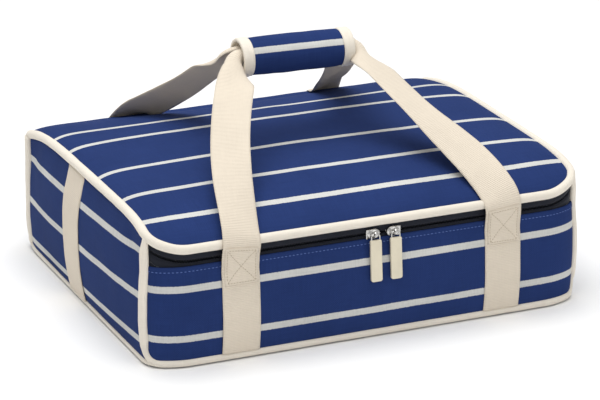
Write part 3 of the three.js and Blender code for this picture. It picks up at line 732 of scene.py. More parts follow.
# inside of the tub: one lining up the walls and over the floor

liner = {"grid": (320, 22), "out": -0.0096, "floor": 0.0134, "floorGap": 0.0002, "belowRim": 0.025,
         "quilt": 0.0011, "quiltPitch": 0.06,
         "lipFrom": 0.85, "lipRise": 0.0022, "lipOut": 0.0074}    # turns out over the foam to the zip tape


def tubLiner():
    bm = startMesh()
    wave = math.pi / liner["quiltPitch"]

    def spot(a, b):
        s = 2 * halfGirth * a
        top = bag["rim"] - liner["belowRim"] + archAlong(s)
        if b < liner["lipFrom"]:
            t = b / liner["lipFrom"]
            puff = liner["quilt"] * math.sin(math.pi * t) * math.sin(s * wave) ** 2
            return s, liner["floor"] + (top - liner["floor"]) * t, liner["out"] - puff
        t = (b - liner["lipFrom"]) / (1 - liner["lipFrom"])
        return s, top + liner["lipRise"] * math.sin(t * math.pi / 2), liner["out"] + t * liner["lipOut"]

    def floorSpot(a, b):
        inset = -liner["out"] - liner["floorGap"]
        x, y = planSpot(a, b, inset, inset)
        puff = liner["quilt"] * (math.sin(x * wave) * math.sin(y * wave)) ** 2
        return Vector((x, y + bag["shift"], liner["floor"] + puff))

    verts = clothGrid(bm, *liner["grid"], lambda a, b: outlineSpot(*spot(a, b)), lambda a, b: spot(a, b)[:2])
    clothGrid(bm, *base["grid"], floorSpot, lambda a, b: planSpot(a, b, -liner["out"], -liner["out"]))
    welded(bm, verts)
    for f in bm.faces:
        centre = f.calc_center_median()
        inward = Vector((-centre.x, bag["shift"] - centre.y, 0))
        f.normal_update()
        turned = f.normal.z < 0 if abs(f.normal.z) > 0.7 else f.normal.dot(inward) < 0
        if turned:
            f.normal_flip()
    return makePiece(bm, "tub_liner", silverLining)


standsFor(tubLiner(), "bag_body", "silver_lining", "tub_lining")
print("lining made")


# lid: one closed padded form, canvas above and lining below

lidForm = {
    "grid": (104, 100), "inset": 0.0035, "edgeReach": 0.012,
    "top": 0.0012, "rise": 0.0062, "riseReach": 0.010, "crown": 0.0040, "sag": 0.0050, "ripple": 0.0006,
    "under": 0.0008, "drop": 0.0068, "dropReach": 0.007, "backGap": 0.0004,
}


def edgeDistance(x, y):
    # from the lid's bound edges; the back edge is a fold
    x = abs(x)
    d = bag["halfWidth"] - x
    if x <= frontRun:
        d = min(d, y + bag["halfDepth"])
    elif y < shoulderY and math.atan2(x - frontRun, shoulderY - y) <= shoulderTurn:
        d = min(d, bag["shoulder"] - math.hypot(x - frontRun, shoulderY - y))
    elif y < cornerY and x > frontX:
        d = min(d, bag["frontCorner"] - math.hypot(x - frontX, cornerY - y))
    return max(d - lidForm["inset"], 0)


def lidArch(x, y, d):
    # the lid's edges follow the ends, its middle falls away sooner
    middle = archAt(0, y)
    return middle + math.exp(-d / lidForm["edgeReach"]) * (archAt(x, y) - middle)


def lidTopZ(x, y):
    d = edgeDistance(x, y)
    tx, ty = x / bag["halfWidth"], y / bag["halfDepth"]
    crown = lidForm["crown"] * (1 - tx * tx) * (1 - ty * ty)
    crown -= lidForm["sag"] * (1 - tx * tx) * eased((ty - 0.2) / 0.5) * (1 - eased((ty - 0.9) / 0.1))
    ripple = noise.noise(Vector((x * 13, y * 13, 2.0))) + 0.5 * noise.noise(Vector((x * 34, y * 34, 9.0)))
    z = bag["rim"] + lidForm["top"] + lidArch(x, y, d) + crown
    return z + (1 - math.exp(-d / lidForm["riseReach"])) * (lidForm["rise"] + lidForm["ripple"] * ripple)


def lidUnderZ(x, y):
    d = min(edgeDistance(x, y), bag["halfDepth"] - y)
    ripple = noise.noise(Vector((x * 16, y * 16, 5.0)))
    drop = (1 - math.exp(-d / lidForm["dropReach"])) * (lidForm["drop"] - lidForm["ripple"] * ripple)
    return bag["rim"] - lidForm["under"] + lidArch(x, y, d) - drop


def lidPad():
    bm = startMesh()

    def cloth(a, b):
        return planSpot(a, b, lidForm["inset"], 0.0)

    def top(a, b):
        x, y = cloth(a, b)
        return Vector((x, y + bag["shift"], lidTopZ(x, y)))

    def under(a, b):
        x, y = cloth(a, b)
        y = min(y, bag["halfDepth"] - lidForm["backGap"])
        return Vector((x, y + bag["shift"], lidUnderZ(x, y)))

    clothGrid(bm, *lidForm["grid"], top, cloth, 0)
    clothGrid(bm, *lidForm["grid"], under, cloth, 1)
    bmesh.ops.bridge_loops(bm, edges=[e for e in bm.edges if e.is_boundary])
    outwards(bm)
    return makePiece(bm, "lid_pad", lidCanvas, silverLining)


standsFor(lidPad(), "lid", "navy_canvas", "lid_panel", "lid_foam", "lid_lining")

# the fold of canvas the lid turns on; its path is how far out and how high
hinge = {
    "path": [(0.0, 0.098), (0.0006, 0.104), (0.0009, 0.110), (0.0006, 0.1155),
             (-0.0004, 0.1195), (-0.0025, 0.1220), (-0.006, 0.1231), (-0.010, 0.1236)],
    "columns": 110, "out": 0.0006, "short": 0.004, "thickness": 0.001,
}


def hingeFold():
    bm = startMesh()
    half = halfGirth - endFinish - hinge["short"]
    rows = len(hinge["path"]) - 1

    def place(a, b):
        out, z = hinge["path"][round(b * rows)]
        return outlineSpot(halfGirth - half + 2 * half * a, z, out + hinge["out"])

    # the cloth's own height lies between stripes
    clothGrid(bm, hinge["columns"], rows, place, lambda a, b: (a * 2 * half, 0.11 + 0.03 * b))
    piece = makePiece(bm, "hinge_fold", lidCanvas)
    thicken(piece, hinge["thickness"])
    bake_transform(piece)
    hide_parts("lid_hinge_strip")


hingeFold()
print("lid made")


# bindings

trim = {
    "sides": 14, "uneven": 0.05,
    "seamRadius": 0.0054, "footRadius": 0.0034, "lidRadius": 0.0045, "pipingRadius": 0.0022,
    "seamFlat": 0.72, "seamOut": 0.0002, "lidOut": -0.002,
    "baseZ": 0.0046, "pipingZ": 0.0038,
    "tuck": 0.018, "tuckOver": 0.0035,       # the top of a seam, under the lid's binding
    "lean": {"front": -0.0022, "back": 0.0}, "taper": {"front": 0.4, "back": 0.0},
    "footFrom": 0.006, "footOver": 0.022,    # thin along the base, full above
}


def wallRun(path, out):
    # centres and directions for a section carried along places on the wall
    run = []
    spots = [wallSpot(s, z, out) for s, z in path]
    for i, (s, z) in enumerate(path):
        ahead = spots[min(i + 1, len(spots) - 1)] - spots[max(i - 1, 0)]
        outward = outwardAt(s)
        run.append((spots[i], outward.cross(ahead.normalized()).normalized(), outward))
    return run


def seamPath(face, seam, middle):
    # up one end, tucked forward under the lid's binding, along the base and up the other end
    radius, low, tuck = seamBend[face], trim["baseZ"], trim["tuck"]
    half = abs(seam - middle)
    top = endTop(middle + half) + trim["tuckOver"]
    right = [(middle + half + trim["lean"][face] * eased((z - top + tuck) / tuck), z)
             for z in spaced(top, low + radius, 0.003)]
    for i in range(1, 9):
        angle = math.pi / 2 * i / 9
        right.append((middle + half - radius + radius * math.cos(angle), low + radius - radius * math.sin(angle)))
    along = [(s, low) for s in spaced(middle + half - radius, middle - half + radius, 0.004)]
    left = [(2 * middle - s, z) for s, z in reversed(right)]
    return right + along + left


def boundEdge(name, path, out, radius, body, node, flatten=1.0, foot=None, taper=0.0):
    bm = startMesh()
    run = wallRun(path, out)
    tip = max(spot[0].z for spot in run)

    def section(j):
        uneven = 1 + trim["uneven"] * noise.noise(run[j][0] * 60)
        z, r = run[j][0].z, radius
        if foot is not None:
            r = foot + (radius - foot) * eased((z - trim["footFrom"]) / trim["footOver"])
            r -= taper * radius * eased((z - tip + trim["tuck"]) / trim["tuck"])
        return [(u * uneven, o * flatten * uneven) for u, o in ovalSection(r, r, trim["sides"])]

    sweep(bm, run, section)
    closedPiece(bm, name, bindingCotton, body, "cream_binding", node)


for face, seam, middle in (("front", frontSeam, 0.0), ("back", 2 * halfGirth - backSeam, halfGirth)):
    boundEdge("%s_bound_seam" % face, seamPath(face, seam, middle), trim["seamOut"], trim["seamRadius"],
              "bag_body", "%s_binding" % face, trim["seamFlat"], trim["footRadius"], trim["taper"][face])
for side, label in ((1, "right"), (-1, "left")):
    path = [(side * s, trim["pipingZ"]) for s in spaced(frontSeam - 0.010, backSeam + 0.008, 0.005)]
    boundEdge("%s_base_piping" % label, path, 0.0, trim["pipingRadius"], "bag_body", "%s_base_binding" % label)


def lidEdgePath():
    # round the lid's rim, with a short turn down at each back end
    bend = backSeam - 0.004
    run = [(s, bag["rim"] + archAlong(s)) for s in spaced(-bend, bend, 0.004)]
    level = bag["rim"] + archAlong(bend)
    down = []
    for i in range(1, 6):
        angle = math.pi / 2 * i / 5
        down.append((bend + 0.0055 * math.sin(angle), level - 0.0045 * (1 - math.cos(angle))))
    return [(-s, z) for s, z in reversed(down)] + run + down


boundEdge("lid_bound_edge", lidEdgePath(), trim["lidOut"], trim["lidRadius"], "lid", "lid_binding")
print("bindings made")


# zip

zipForm = {
    "tapeOut": -0.0019, "tapeSink": 0.0004, "tapeThickness": 0.0007, "tapeStep": 0.006, "tapeGap": 0.0018,
    "tubFoot": 0.0244, "lidTop": 0.0030,       # below the rim
    "riseFrom": 0.006,                         # past the front seam the tub's tape follows the ends
    "pitch": 0.0016, "tooth": (0.00052, 0.0008, 0.0011), "toothOut": -0.0024, "toothOff": 0.0012,
}


def zipTape(name, low, high, node, body):
    bm = startMesh()
    columns = math.ceil(2 * zipEnd / zipForm["tapeStep"])

    def place(a, b):
        s = -zipEnd + 2 * zipEnd * a
        rise = archAlong(s)
        past = (abs(s) - frontSeam - zipForm["riseFrom"]) / (endStart - frontSeam)
        foot = low + rise * (1 if body == "lid" else eased(past))
        sink = zipForm["tapeSink"] * math.sin(math.pi * b)
        return outlineSpot(s, foot + (high + rise - foot) * b, zipForm["tapeOut"] - sink)

    clothGrid(bm, columns, 4, place, lambda a, b: (2 * zipEnd * a, (high - low) * b))
    piece = makePiece(bm, name, zipCloth)
    thicken(piece, zipForm["tapeThickness"])
    standsFor(piece, body, "zip_tape", node)


def zipTeeth(name, direction, node, body):
    bm = startMesh()
    for i in range(int(2 * zipEnd / zipForm["pitch"])):
        # the two rows mesh half a pitch apart
        s = -zipEnd + (i + (0.25 if direction > 0 else 0.75)) * zipForm["pitch"]
        z = bag["zip"] + direction * zipForm["toothOff"] + archAlong(s)
        nx, ny = planAt(s)[2:]
        bead(bm, outlineSpot(s, z, zipForm["toothOut"]), (-ny, nx, 0), (nx, ny, 0), (0, 0, 1), zipForm["tooth"])
    closedPiece(bm, name, coilNylon, body, "zip_coil", node)


zipTape("zip_tape_tub", bag["rim"] - zipForm["tubFoot"], bag["zip"] - zipForm["tapeGap"], "zip_tape_lower", "bag_body")
zipTape("zip_tape_lid", bag["zip"] + zipForm["tapeGap"], bag["rim"] - zipForm["lidTop"], "zip_tape_upper", "lid")
zipTeeth("zip_teeth_tub", -1, "zip_coil_lower", "bag_body")
zipTeeth("zip_teeth_lid", 1, "zip_coil_upper", "lid")
for label in ("left", "right"):
    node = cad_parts["%s_zip_stop" % label]
    node.data.materials.clear()
    node.data.materials.append(coilNylon)


# sliders and pulls, nickel with a leather tab

slide = {
    "spacing": 0.021, "meet": 0.011, "stand": 0.0049, "rise": 0.001,
    "ring": 0.0023, "ringBand": (0.0017, 0.0008),
    "linkLength": 0.0065, "linkWidth": 0.0086, "linkBend": 0.0022, "wire": 0.00075,
    "tab": (0.0115, 0.0030), "tabOver": 0.0012, "tabUnder": 0.0400,
    "hang": math.radians(-4.5),        # the tabs lean out on the filled front
}
pivotZ = bag["zip"] + slide["rise"]
frontY = -bag["halfDepth"] + bag["shift"]
pullY = frontY - slide["stand"]


def bevelled(bm, edges, offset, segments):
    bmesh.ops.bevel(bm, geom=edges, offset=offset, segments=segments, profile=0.5, affect="EDGES", material=-1,
                    clamp_overlap=True)


def boxAt(bm, centre, size):
    return bmesh.ops.create_cube(bm, size=1.0, matrix=Matrix.Translation(centre) @ Matrix.Diagonal((*size, 1)))


def roundedBox(bm, centre, size, bevel, segments=3):
    made = boxAt(bm, centre, size)
    edges = list({e for v in made["verts"] for e in v.link_edges})
    bmesh.ops.bevel(bm, geom=edges, offset=bevel, segments=segments, profile=0.5, affect="EDGES", material=-1)


def sliderPiece(label, x, side):
    bm = startMesh()
    z = bag["zip"]
    # flat mouth at the outer end, rounded shield over the rest, back plate and the web between
    roundedBox(bm, Vector((x + side * 0.0045, frontY + 0.0006, z)), (0.0062, 0.0018, 0.0094), 0.0007)
    shield = Matrix.Translation((x - side * 0.0005, frontY + 0.0002, z)) @ Matrix.Diagonal((0.0068, 0.0022, 0.0052, 1))
    bmesh.ops.create_uvsphere(bm, u_segments=28, v_segments=16, radius=1, matrix=shield)
    roundedBox(bm, Vector((x, frontY + 0.0045, z)), (0.0140, 0.0014, 0.0090), 0.0005)
    roundedBox(bm, Vector((x, frontY + 0.0026, z)), (0.0050, 0.0038, 0.0007), 0.0002, 1)
    # bridge that holds the link
    ring = []
    for k in range(25):
        a = 2 * math.pi * k / 24
        spot = Vector((x, pullY + slide["ring"] * math.cos(a), pivotZ + slide["ring"] * math.sin(a)))
        ring.append((spot, Vector((1, 0, 0)), Vector((0, math.cos(a), math.sin(a)))))
    sweep(bm, ring, lambda j: ovalSection(*slide["ringBand"], 10))
    roundedBox(bm, Vector((x, frontY - 0.0018, pivotZ)), (0.0032, 0.0026, 0.0042), 0.0006, 2)
    welded(bm, bm.verts[:])
    closedPiece(bm, "%s_slider_body" % label, nickelPlate, "%s_slider" % label, "nickel", "%s_slider" % label)


def hung(bm):
    # turned about the bridge of the slider
    turned = Matrix.Rotation(slide["hang"], 3, "X")
    bmesh.ops.rotate(bm, verts=bm.verts[:], cent=Vector((0, pullY, pivotZ)), matrix=turned)


def linkPiece(label, x):
    bm = startMesh()
    bend = slide["linkBend"]
    half, top, low = slide["linkWidth"] / 2 - bend, -bend, -slide["linkLength"] + bend
    run = []
    for cx, cz, start in ((half, top, 0), (-half, top, 90), (-half, low, 180), (half, low, 270)):
        for i in range(7):
            a = math.radians(start + 15 * i)
            spot = Vector((x + cx + bend * math.cos(a), pullY, pivotZ + cz + bend * math.sin(a)))
            run.append((spot, Vector((math.cos(a), 0, math.sin(a))), Vector((0, 1, 0))))
    run.append(run[0])
    sweep(bm, run, lambda j: ovalSection(slide["wire"], slide["wire"], 10))
    welded(bm, bm.verts[:])
    hung(bm)
    closedPiece(bm, "%s_pull_wire" % label, nickelPlate, "%s_pull" % label, "nickel", "%s_pull_link" % label)


def tabPiece(label, x):
    # a slim leather bar that hangs on the wire, its lower corners cut
    bm = startMesh()
    bar = pivotZ - slide["linkLength"]
    top, low = bar + slide["tabOver"], bar - slide["tabUnder"]
    boxAt(bm, (x, pullY, (top + low) / 2), (*slide["tab"], top - low))

    def cornersAt(z):
        # the edges that run through the thickness of the bar
        return [e for e in bm.edges if all(abs(v.co.z - z) < 0.001 for v in e.verts)
                and abs(e.verts[0].co.x - e.verts[1].co.x) < 1e-6]

    bevelled(bm, cornersAt(low), 0.0018, 2)
    bevelled(bm, cornersAt(top), 0.0012, 2)
    bevelled(bm, bm.edges[:], 0.0006, 3)
    hung(bm)
    closedPiece(bm, "%s_pull_leather" % label, pullLeather, "%s_pull" % label, "cream_tab", "%s_pull_tab" % label)


for side, label in ((-1, "left"), (1, "right")):
    x = slide["meet"] + side * slide["spacing"] / 2
    sliderPiece(label, x, side)
    linkPiece(label, x)
    tabPiece(label, x)
print("zip made")


# webbing

web = {
    "width": 0.038, "thickness": 0.0018, "onWall": 0.0011, "strapBottom": 0.008,
    "patch": 0.0013, "patchWidth": 0.0332, "patchLow": 0.0780, "patchTop": 0.1140, "press": 0.0002,
    "sideWidth": 0.0445, "sideMiddle": 0.0167, "sideFoot": 0.0045,
}
# each loop: pairs are for its left and right leg
handle = {
    "front": {"lean": 0.004, "rise": 0.014, "twist": (47, 47), "sway": (-0.008, -0.003), "sag": (0.0, 0.0),
              "round": 0.25, "pleat": 0.050, "turnOver": 0.075},
    "back": {"lean": 0.007, "rise": 0.005, "twist": (0, 18), "sway": (0.007, 0.006), "sag": (0.002, 0.002),
             "round": 0.12, "pleat": 0.060, "turnOver": 0.110},
}
loop = {
    "free": 0.109, "wallTop": 0.0905, "over": [(0.0026, 0.0975), (0.0036, 0.106), (0.0046, 0.1155)],
    "foldIn": 0.014, "foldUp": 0.004, "upright": 0.012, "pull": 0.66,
    "turnFrom": 0.122, "levelOver": 0.022, "untwist": (0.044, 0.014), "step": 0.0024,
}
# how the webbing goes into the grip: gathered narrower and rolled up
mouthForm = {"stand": 0.003, "ridge": 0.0105, "up": 0.0045, "dip": 0.001, "kink": 0.009,
             "past": 0.008, "power": 1.7, "gather": 0.012, "roll": 2.6}
grip = {"height": 0.233, "radius": 0.020, "padding": 0.0065, "length": 0.098, "binding": 0.010,
        "bindingGap": 0.0003, "hinge": 60, "seam": 250, "aside": -0.0025, "tilt": 0.02}
gripHalf = grip["length"] / 2
gripEnd = gripHalf + grip["bindingGap"] + grip["binding"]


def gripZ(x):
    return grip["height"] - grip["tilt"] * x


def smoothPath(points, step):
    # centripetal curve through the points, in even steps
    dense = []
    pts = [points[0] * 2 - points[1]] + points + [points[-1] * 2 - points[-2]]

    def between(p, q, t, tp, tq):
        return p * ((tq - t) / (tq - tp)) + q * ((t - tp) / (tq - tp))

    for k in range(1, len(pts) - 2):
        p0, p1, p2, p3 = pts[k - 1:k + 3]
        t0 = 0.0
        t1 = t0 + math.sqrt(max((p1 - p0).length, 1e-9))
        t2 = t1 + math.sqrt(max((p2 - p1).length, 1e-9))
        t3 = t2 + math.sqrt(max((p3 - p2).length, 1e-9))
        for i in range(24):
            t = t1 + (t2 - t1) * i / 24
            a1, a2, a3 = between(p0, p1, t, t0, t1), between(p1, p2, t, t1, t2), between(p2, p3, t, t2, t3)
            dense.append(between(between(a1, a2, t, t0, t2), between(a2, a3, t, t1, t3), t, t1, t2))
    dense.append(points[-1])
    lengths = walkedLengths(dense)
    count = max(2, round(lengths[-1] / step))
    found = []
    for i in range(count + 1):
        k, t = stepAt(lengths, lengths[-1] * i / count)
        found.append(dense[k].lerp(dense[k + 1], clamp(t)))
    return found


def ribbonSection(width, thickness, curl=0.0):
    # flat webbing with rounded edges; curl rolls it into a trough of the same arc length
    count = 16
    outer, inner = [], []
    for i in range(count + 1):
        u = -1 + 2 * i / count
        edge = math.sqrt(max(1 - max(0.0, (abs(u) - 0.95) / 0.05) ** 2, 0.0))
        half = thickness / 2 * (0.35 + 0.65 * edge)
        cx, cy, nx, ny = u * width / 2, 0.0, 0.0, 1.0
        if curl > 1e-3:
            r = width / 2 / curl
            nx, ny = math.sin(u * curl), math.cos(u * curl)
            cx, cy = r * nx, r * (ny - 1)
        outer.append((cx + nx * half, cy + ny * half))
        inner.append((cx - nx * half, cy - ny * half))
    return outer + inner[::-1]


def handleLoop(name, face, nodes):
    # one length of webbing: up the wall, over the rim, to the grip, pleated into its mouth and down again
    form = handle[face]
    sign = -1 if face == "front" else 1
    h, root = bag["halfDepth"], strapX[face]
    wallS = root if face == "front" else halfGirth - root
    foldY = h - loop["foldIn"]
    bendZ = bag["rim"] + loop["foldUp"] + archAt(0, foldY) + form["rise"]

    def climb(y, z):
        free = max((z - loop["free"]) / (bendZ - loop["free"]), 0)
        return Vector((-root + form["lean"] * free, y, z))

    leg = [climb(h + softOut(wallS, z) + web["onWall"], z) for z in spaced(web["strapBottom"], loop["wallTop"], 0.009)]
    leg += [climb(h + out, z) for out, z in loop["over"]]
    bend = climb(foldY, bendZ)

    def halfPath(side, sway, sag):
        # from the foot of one strap to the middle of the grip
        up = [Vector((-side * p.x, p.y, p.z)) for p in leg]
        start = Vector((-side * bend.x, bend.y, bend.z))
        x = side * (gripEnd + mouthForm["stand"]) + grip["aside"]
        mouth = Vector((x, mouthForm["ridge"], gripZ(x) + mouthForm["up"] - mouthForm["dip"]))
        before = mouth - (mouth - start).normalized() * mouthForm["kink"]
        after = mouth + Vector((-side * mouthForm["kink"], 0, mouthForm["dip"]))
        slack = Vector((sway, 0, -sag))
        reach = form["round"]

        def hanging(u):
            return start.lerp(before, u) + slack * math.sin(math.pi * u)

        low, high = up[-1], hanging(reach)
        along = before - start + slack * math.pi * math.cos(math.pi * reach)
        knots = [low, low + Vector((0, 0, loop["upright"])), high - along * reach * loop["pull"], high]
        for u in (0.2, 0.4, 0.6, 0.8):
            rung = [a.lerp(b, u) for a, b in zip(knots, knots[1:])]
            up.append(rung[0].lerp(rung[1], u).lerp(rung[1].lerp(rung[2], u), u))
        up += [hanging(u) for u in (reach, reach + 0.2, reach + 0.4, 0.82)]
        up += [before.lerp(mouth, u).lerp(mouth.lerp(after, u), u) for u in (0, 0.2, 0.4, 0.6, 0.8, 1)]
        up += [Vector((side * d, mouthForm["ridge"], gripZ(side * d) + mouthForm["up"])) for d in (0.030, 0.004)]
        path = smoothPath(up, loop["step"])
        walked = walkedLengths(path)
        mouthAt = min(zip(path, walked), key=lambda spot: (spot[0] - mouth).length)[1]
        return path, [w - mouthAt for w in walked]

    left, leftPast = halfPath(-1, form["sway"][0], form["sag"][0])
    right, rightPast = halfPath(1, form["sway"][1], form["sag"][1])
    points, pasts = left + right[::-1], leftPast + rightPast[::-1]
    run, shape = [], []
    for i, p in enumerate(points):
        half = i >= len(left)
        ahead = (points[min(i + 1, len(points) - 1)] - points[max(i - 1, 0)]).normalized()
        across = Vector((ahead.z, 0, -ahead.x)).normalized()
        if face == "back":
            # level where it folds over the hinge edge
            level = 1 - eased((p.z - loop["turnFrom"]) / loop["levelOver"])
            across = across.lerp(Vector((math.copysign(1, ahead.z), 0, 0)), level).normalized()
        outward = ahead.cross(across).normalized()          # away from the bag's middle
        untwist = loop["untwist"][half]
        lay = eased((p.z - loop["turnFrom"]) / form["turnOver"])
        lay *= 1 - eased((pasts[i] + untwist) / (untwist + mouthForm["past"]))
        twist = Matrix.Rotation(math.radians(form["twist"][half]) * lay, 3, ahead)
        row = [p, twist @ across, twist @ outward]
        place, across, outward = [Vector((v.x, sign * v.y, v.z)) for v in row]
        run.append((place + Vector((0, bag["shift"], 0)), across, outward))
        pleat = clamp(1 + (pasts[i] - mouthForm["past"]) / form["pleat"]) ** mouthForm["power"]
        width = web["width"] - mouthForm["gather"] * pleat
        shape.append(ribbonSection(width, web["thickness"], mouthForm["roll"] * pleat))
    bm = startMesh()
    sweep(bm, run, lambda j: shape[j])
    uv = bm.loops.layers.uv.active
    for f in bm.faces:
        around = sum(corner[uv].uv.x for corner in f.loops) / len(f.loops)
        # the reverse side takes the warmer painted shade colour of the webbing
        f.material_index = int(around > web["width"] + web["thickness"])      # the reverse side
    outwards(bm)
    sewnOn(makePiece(bm, name, webbingCotton, webbingReversePaintedShade), nodes)
    sewn = [row for row in run if web["patchLow"] - 0.001 < row[0].z < web["patchTop"] + 0.001]
    return [row for row in sewn if row[0].x < 0], [row for row in sewn if row[0].x > 0][::-1]


def sewnOn(piece, nodes):
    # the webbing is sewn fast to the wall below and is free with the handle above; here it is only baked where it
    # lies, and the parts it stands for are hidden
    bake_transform(piece)
    if nodes:
        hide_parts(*nodes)


def strapPatch(name, rows, node):
    # the folded end of the strap, doubled over itself
    bm = startMesh()
    stand = (web["thickness"] + web["patch"]) / 2 - web["press"]
    run = [(centre + outward * stand, across, outward) for centre, across, outward in rows]
    sweep(bm, run, lambda j: ribbonSection(web["patchWidth"], web["patch"]))
    outwards(bm)
    sewnOn(makePiece(bm, name, webbingCotton), [node])


patchRows = {}
for face in ("front", "back"):
    names = ["%s_left_strap" % face, "%s_right_strap" % face, "%s_handle_webbing" % face]
    patchRows[face] = handleLoop("%s_webbing_loop" % face, face, names)
    for rows, label in zip(patchRows[face], ("left", "right")):
        strapPatch("%s_%s_doubling" % (face, label), rows, "%s_%s_patch" % (face, label))


def sideWebbing(side, label):
    # up the end wall, tucked under the lid's binding
    s = side * (endStart - cornerY + web["sideMiddle"])
    x, y, nx, ny = planAt(s)
    run = []
    for z in spaced(web["sideFoot"], endTop(s) + 0.001, 0.004):
        out = softOut(s, z) + web["onWall"] - 0.0012 * eased((z - 0.105) / 0.02)
        run.append((Vector((x + nx * out, y + bag["shift"], z)), Vector((0, side, 0)), Vector((nx, ny, 0))))
    bm = startMesh()
    sweep(bm, run, lambda j: ribbonSection(web["sideWidth"], web["thickness"]))
    closedPiece(bm, "%s_side_webbing" % label, webbingCotton, "bag_body", "cream_webbing", "%s_side_strap" % label)


sideWebbing(-1, "left")
sideWebbing(1, "right")
print("webbing made")


# stitching

thread = {"length": 0.0026, "gap": 0.0013, "boxGap": 0.0002, "radius": 0.00038,
          "hemBelow": 0.0034, "hemIn": 0.004, "boxIn": 0.0022, "boxEnd": 0.05}


def stitchLine(bm, points, normals, gap):
    # short raised threads along a run of points
    lengths = walkedLengths(points)
    pitch = thread["length"] + gap
    size = (thread["length"] / 2, thread["radius"], thread["radius"])
    for i in range(int(lengths[-1] / pitch)):
        k, t = stepAt(lengths, (i + 0.5) * pitch)
        along = (points[k + 1] - points[k]).normalized()
        up = normals[k].lerp(normals[k + 1], t).normalized()
        bead(bm, points[k].lerp(points[k + 1], t), along, up.cross(along).normalized(), up, size)


def hemStitches():
    bm = startMesh()
    path = spaced(-frontSeam + thread["hemIn"], frontSeam - thread["hemIn"], 0.004)
    points = [wallSpot(s, frontTop(s) - thread["hemBelow"], 0.0001) for s in path]
    stitchLine(bm, points, [outwardAt(s) for s in path], thread["gap"])
    closedPiece(bm, "hem_stitches", blueThread, "bag_body", "navy_canvas")


def boxStitches(face):
    # a box with a cross in it on each doubled strap
    bm = startMesh()
    w, low, high = web["patchWidth"] / 2 - thread["boxIn"], thread["boxEnd"], 1 - thread["boxEnd"]
    corners = [(-w, low), (w, low), (w, high), (-w, high)]
    lines = [(0, 1), (1, 2), (2, 3), (3, 0), (0, 2), (1, 3)]
    stand = web["thickness"] / 2 + web["patch"] - web["press"]
    for rows in patchRows[face]:
        last = len(rows) - 1
        for first, second in lines:
            (u0, b0), (u1, b1) = corners[first], corners[second]
            points, normals = [], []
            for t in [i / 24 for i in range(25)]:
                u, b = u0 + (u1 - u0) * t, (b0 + (b1 - b0) * t) * last
                k = min(int(b), last - 1)
                centre, across, outward = [p.lerp(q, b - k) for p, q in zip(rows[k], rows[k + 1])]
                points.append(centre + across * u + outward * stand)
                normals.append(outward.normalized())
            stitchLine(bm, points, normals, thread["boxGap"])
    outwards(bm)
    sewnOn(makePiece(bm, "%s_box_stitches" % face, creamThread), [])


hemStitches()
boxStitches("front")
boxStitches("back")
print("stitching made")


# grip: a padded wrap in two halves, bound at the ends

wrap = {"padIn": 0.0016, "ringIn": 0.0008, "tapeIn": 0.0018, "padPuff": 0.0010, "ringPuff": 0.0007,
        "edgeIn": 0.0012, "ripple": 0.0005, "lip": 0.0028, "overlap": 0.001,
        "seamGap": 4.6, "hingeGap": 1.2, "tape": (0.3, 3.4), "tapeHalf": 0.040}      # gaps in degrees
gripInner = grip["radius"] - grip["padding"]


def gripShell(name, span, reach, outer, inner, materials, puff, mouth=0):
    # part of a tube, between two angles and two ends; mouth is the open end of a ring
    bm = startMesh()
    columns = max(4, round((reach[1] - reach[0]) / (0.0008 if mouth else 0.0025)))
    rows = max(8, round((span[1] - span[0]) / 5))

    def spot(a, b, r):
        x, angle = cloth(a, b)[0] + grip["aside"], angleAt(b)
        return Vector((x, r * math.cos(angle) + bag["shift"], gripZ(x) + r * math.sin(angle)))

    def angleAt(b):
        return math.radians(span[0] + (span[1] - span[0]) * b)

    def cloth(a, b):
        return (reach[0] + (reach[1] - reach[0]) * a, grip["radius"] * angleAt(b))

    def place(a, b):
        ends = math.sin(math.pi * clamp(a)) ** (0.12 if mouth else 0.35)
        edge = min(1.0, min(b, 1 - b) / 0.06)
        ripple = wrap["ripple"] * noise.noise(Vector((a * 6 + span[0], b * 7, 1.5)))
        return spot(a, b, outer + (puff * ends + ripple * ends - wrap["edgeIn"] * (1 - math.sqrt(edge))))

    def under(a, b):
        # a ring's bore widens towards its open end
        flare = mouth and eased((a if mouth > 0 else 1 - a) / 0.8)
        return spot(a, b, inner + (outer - wrap["lip"] - inner) * flare)

    clothGrid(bm, columns, rows, place, cloth, 0)
    clothGrid(bm, columns, rows, under, cloth, 1)
    bmesh.ops.bridge_loops(bm, edges=[e for e in bm.edges if e.is_boundary])
    outwards(bm)
    return makePiece(bm, name, *materials)


flapSpan = (grip["hinge"] + wrap["hingeGap"], grip["seam"] - wrap["seamGap"])
sleeveSpan = (grip["seam"] + wrap["seamGap"], grip["hinge"] + 360)
for name, span, body in (("grip_flap", flapSpan, "grip_flap"), ("grip_sleeve", sleeveSpan, "back_handle")):
    pad = gripShell("%s_pad" % name, span, (-gripHalf, gripHalf), grip["radius"] - wrap["padIn"], gripInner,
                    (gripCanvas, innerCanvas), wrap["padPuff"])
    standsFor(pad, body, "navy_canvas", name)
    ringFrom = gripHalf - wrap["overlap"]
    for mouth, label, reach in ((-1, "left", (-gripEnd, -ringFrom)), (1, "right", (ringFrom, gripEnd))):
        ring = gripShell("%s_bound_%s" % (name, label), span, reach, grip["radius"] - wrap["ringIn"], gripInner,
                         (bindingCotton, bindingCotton), wrap["ringPuff"], mouth)
        standsFor(ring, body, "cream_binding", "%s_binding_%s" % (name, label))
near, far = wrap["tape"]
for name, span, body in (("hook", (grip["seam"] - far, grip["seam"] - near), "grip_flap"),
                         ("loop", (grip["seam"] + near, grip["seam"] + far), "back_handle")):
    strip = gripShell("grip_%s_strip" % name, span, (-wrap["tapeHalf"], wrap["tapeHalf"]),
                      grip["radius"] - wrap["tapeIn"], gripInner + 0.001, (hookCloth, hookCloth), 0.0)
    standsFor(strip, body, "zip_tape", "grip_%s_tape" % name)
print("grip made")


# floor, light and camera

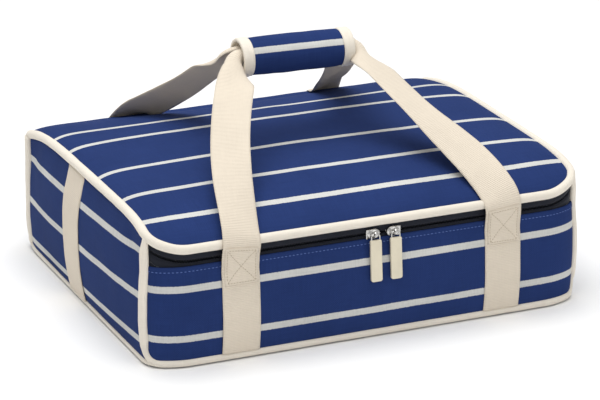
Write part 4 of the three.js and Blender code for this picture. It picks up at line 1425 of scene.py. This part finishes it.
studio = {"azimuth": -23.43, "elevation": 20.06, "distance": 3.0342, "lens": 181.0, "aside": 0.00433,
          "height": 0.07744, "air": 0.48, "floor": 6.0}
lamps = [     # name, place, aim, size, watts
    ("overhead", (-0.2, 0.1, 2.4), (0, 0, 0.05), (2.4, 2.0), 57),
    ("left_fill", (-2.2, -1.2, 1.2), (0, 0, 0.1), (1.6, 1.6), 1),
    ("front_fill", (1.0, -2.6, 1.4), (0, 0, 0.1), (1.8, 1.2), 8),
]


def makeFloor():
    bm = startMesh()
    bmesh.ops.create_grid(bm, x_segments=2, y_segments=2, size=studio["floor"])
    pale = newMaterial("paleFloor", Base_Color=(0.93, 0.93, 0.93, 1), Roughness=0.9, Specular_IOR_Level=0.1)[0]
    piece = makePiece(bm, "floor", pale)


def areaLight(name, place, aim, size, power):
    light = bpy.data.lights.new(name, "AREA")
    light.shape = "RECTANGLE"
    light.size, light.size_y = size
    light.energy = power
    lamp = bpy.data.objects.new(name, light)
    bpy.context.collection.objects.link(lamp)
    lamp.location = place
    lamp.rotation_euler = (Vector(aim) - Vector(place)).to_track_quat("-Z", "Y").to_euler()


def makeCamera():
    a, e = math.radians(studio["azimuth"]), math.radians(studio["elevation"])
    back = Vector((math.sin(a) * math.cos(e), -math.cos(a) * math.cos(e), math.sin(e)))
    right = Vector((math.cos(a), math.sin(a), 0))
    target = right * studio["aside"] + Vector((0, 0, studio["height"]))
    lens = bpy.data.cameras.new("camera")
    lens.lens = studio["lens"]
    lens.sensor_width = 36
    lens.sensor_fit = "HORIZONTAL"
    lens.clip_end = 50
    camera = bpy.data.objects.new("camera", lens)
    bpy.context.collection.objects.link(camera)
    turned = Matrix((right, back.cross(right), back)).transposed().to_4x4()
    camera.matrix_world = Matrix.Translation(target + back * studio["distance"]) @ turned
    bpy.context.scene.camera = camera


makeFloor()
world = bpy.data.worlds.new("studioAir")
world.use_nodes = True
air = world.node_tree.nodes["Background"].inputs
air["Color"].default_value = (1, 1, 1, 1)
air["Strength"].default_value = studio["air"]
bpy.context.scene.world = world
for lamp in lamps:
    areaLight(*lamp)
bpy.context.scene.view_settings.view_transform = "Standard"
makeCamera()
print("studio made")
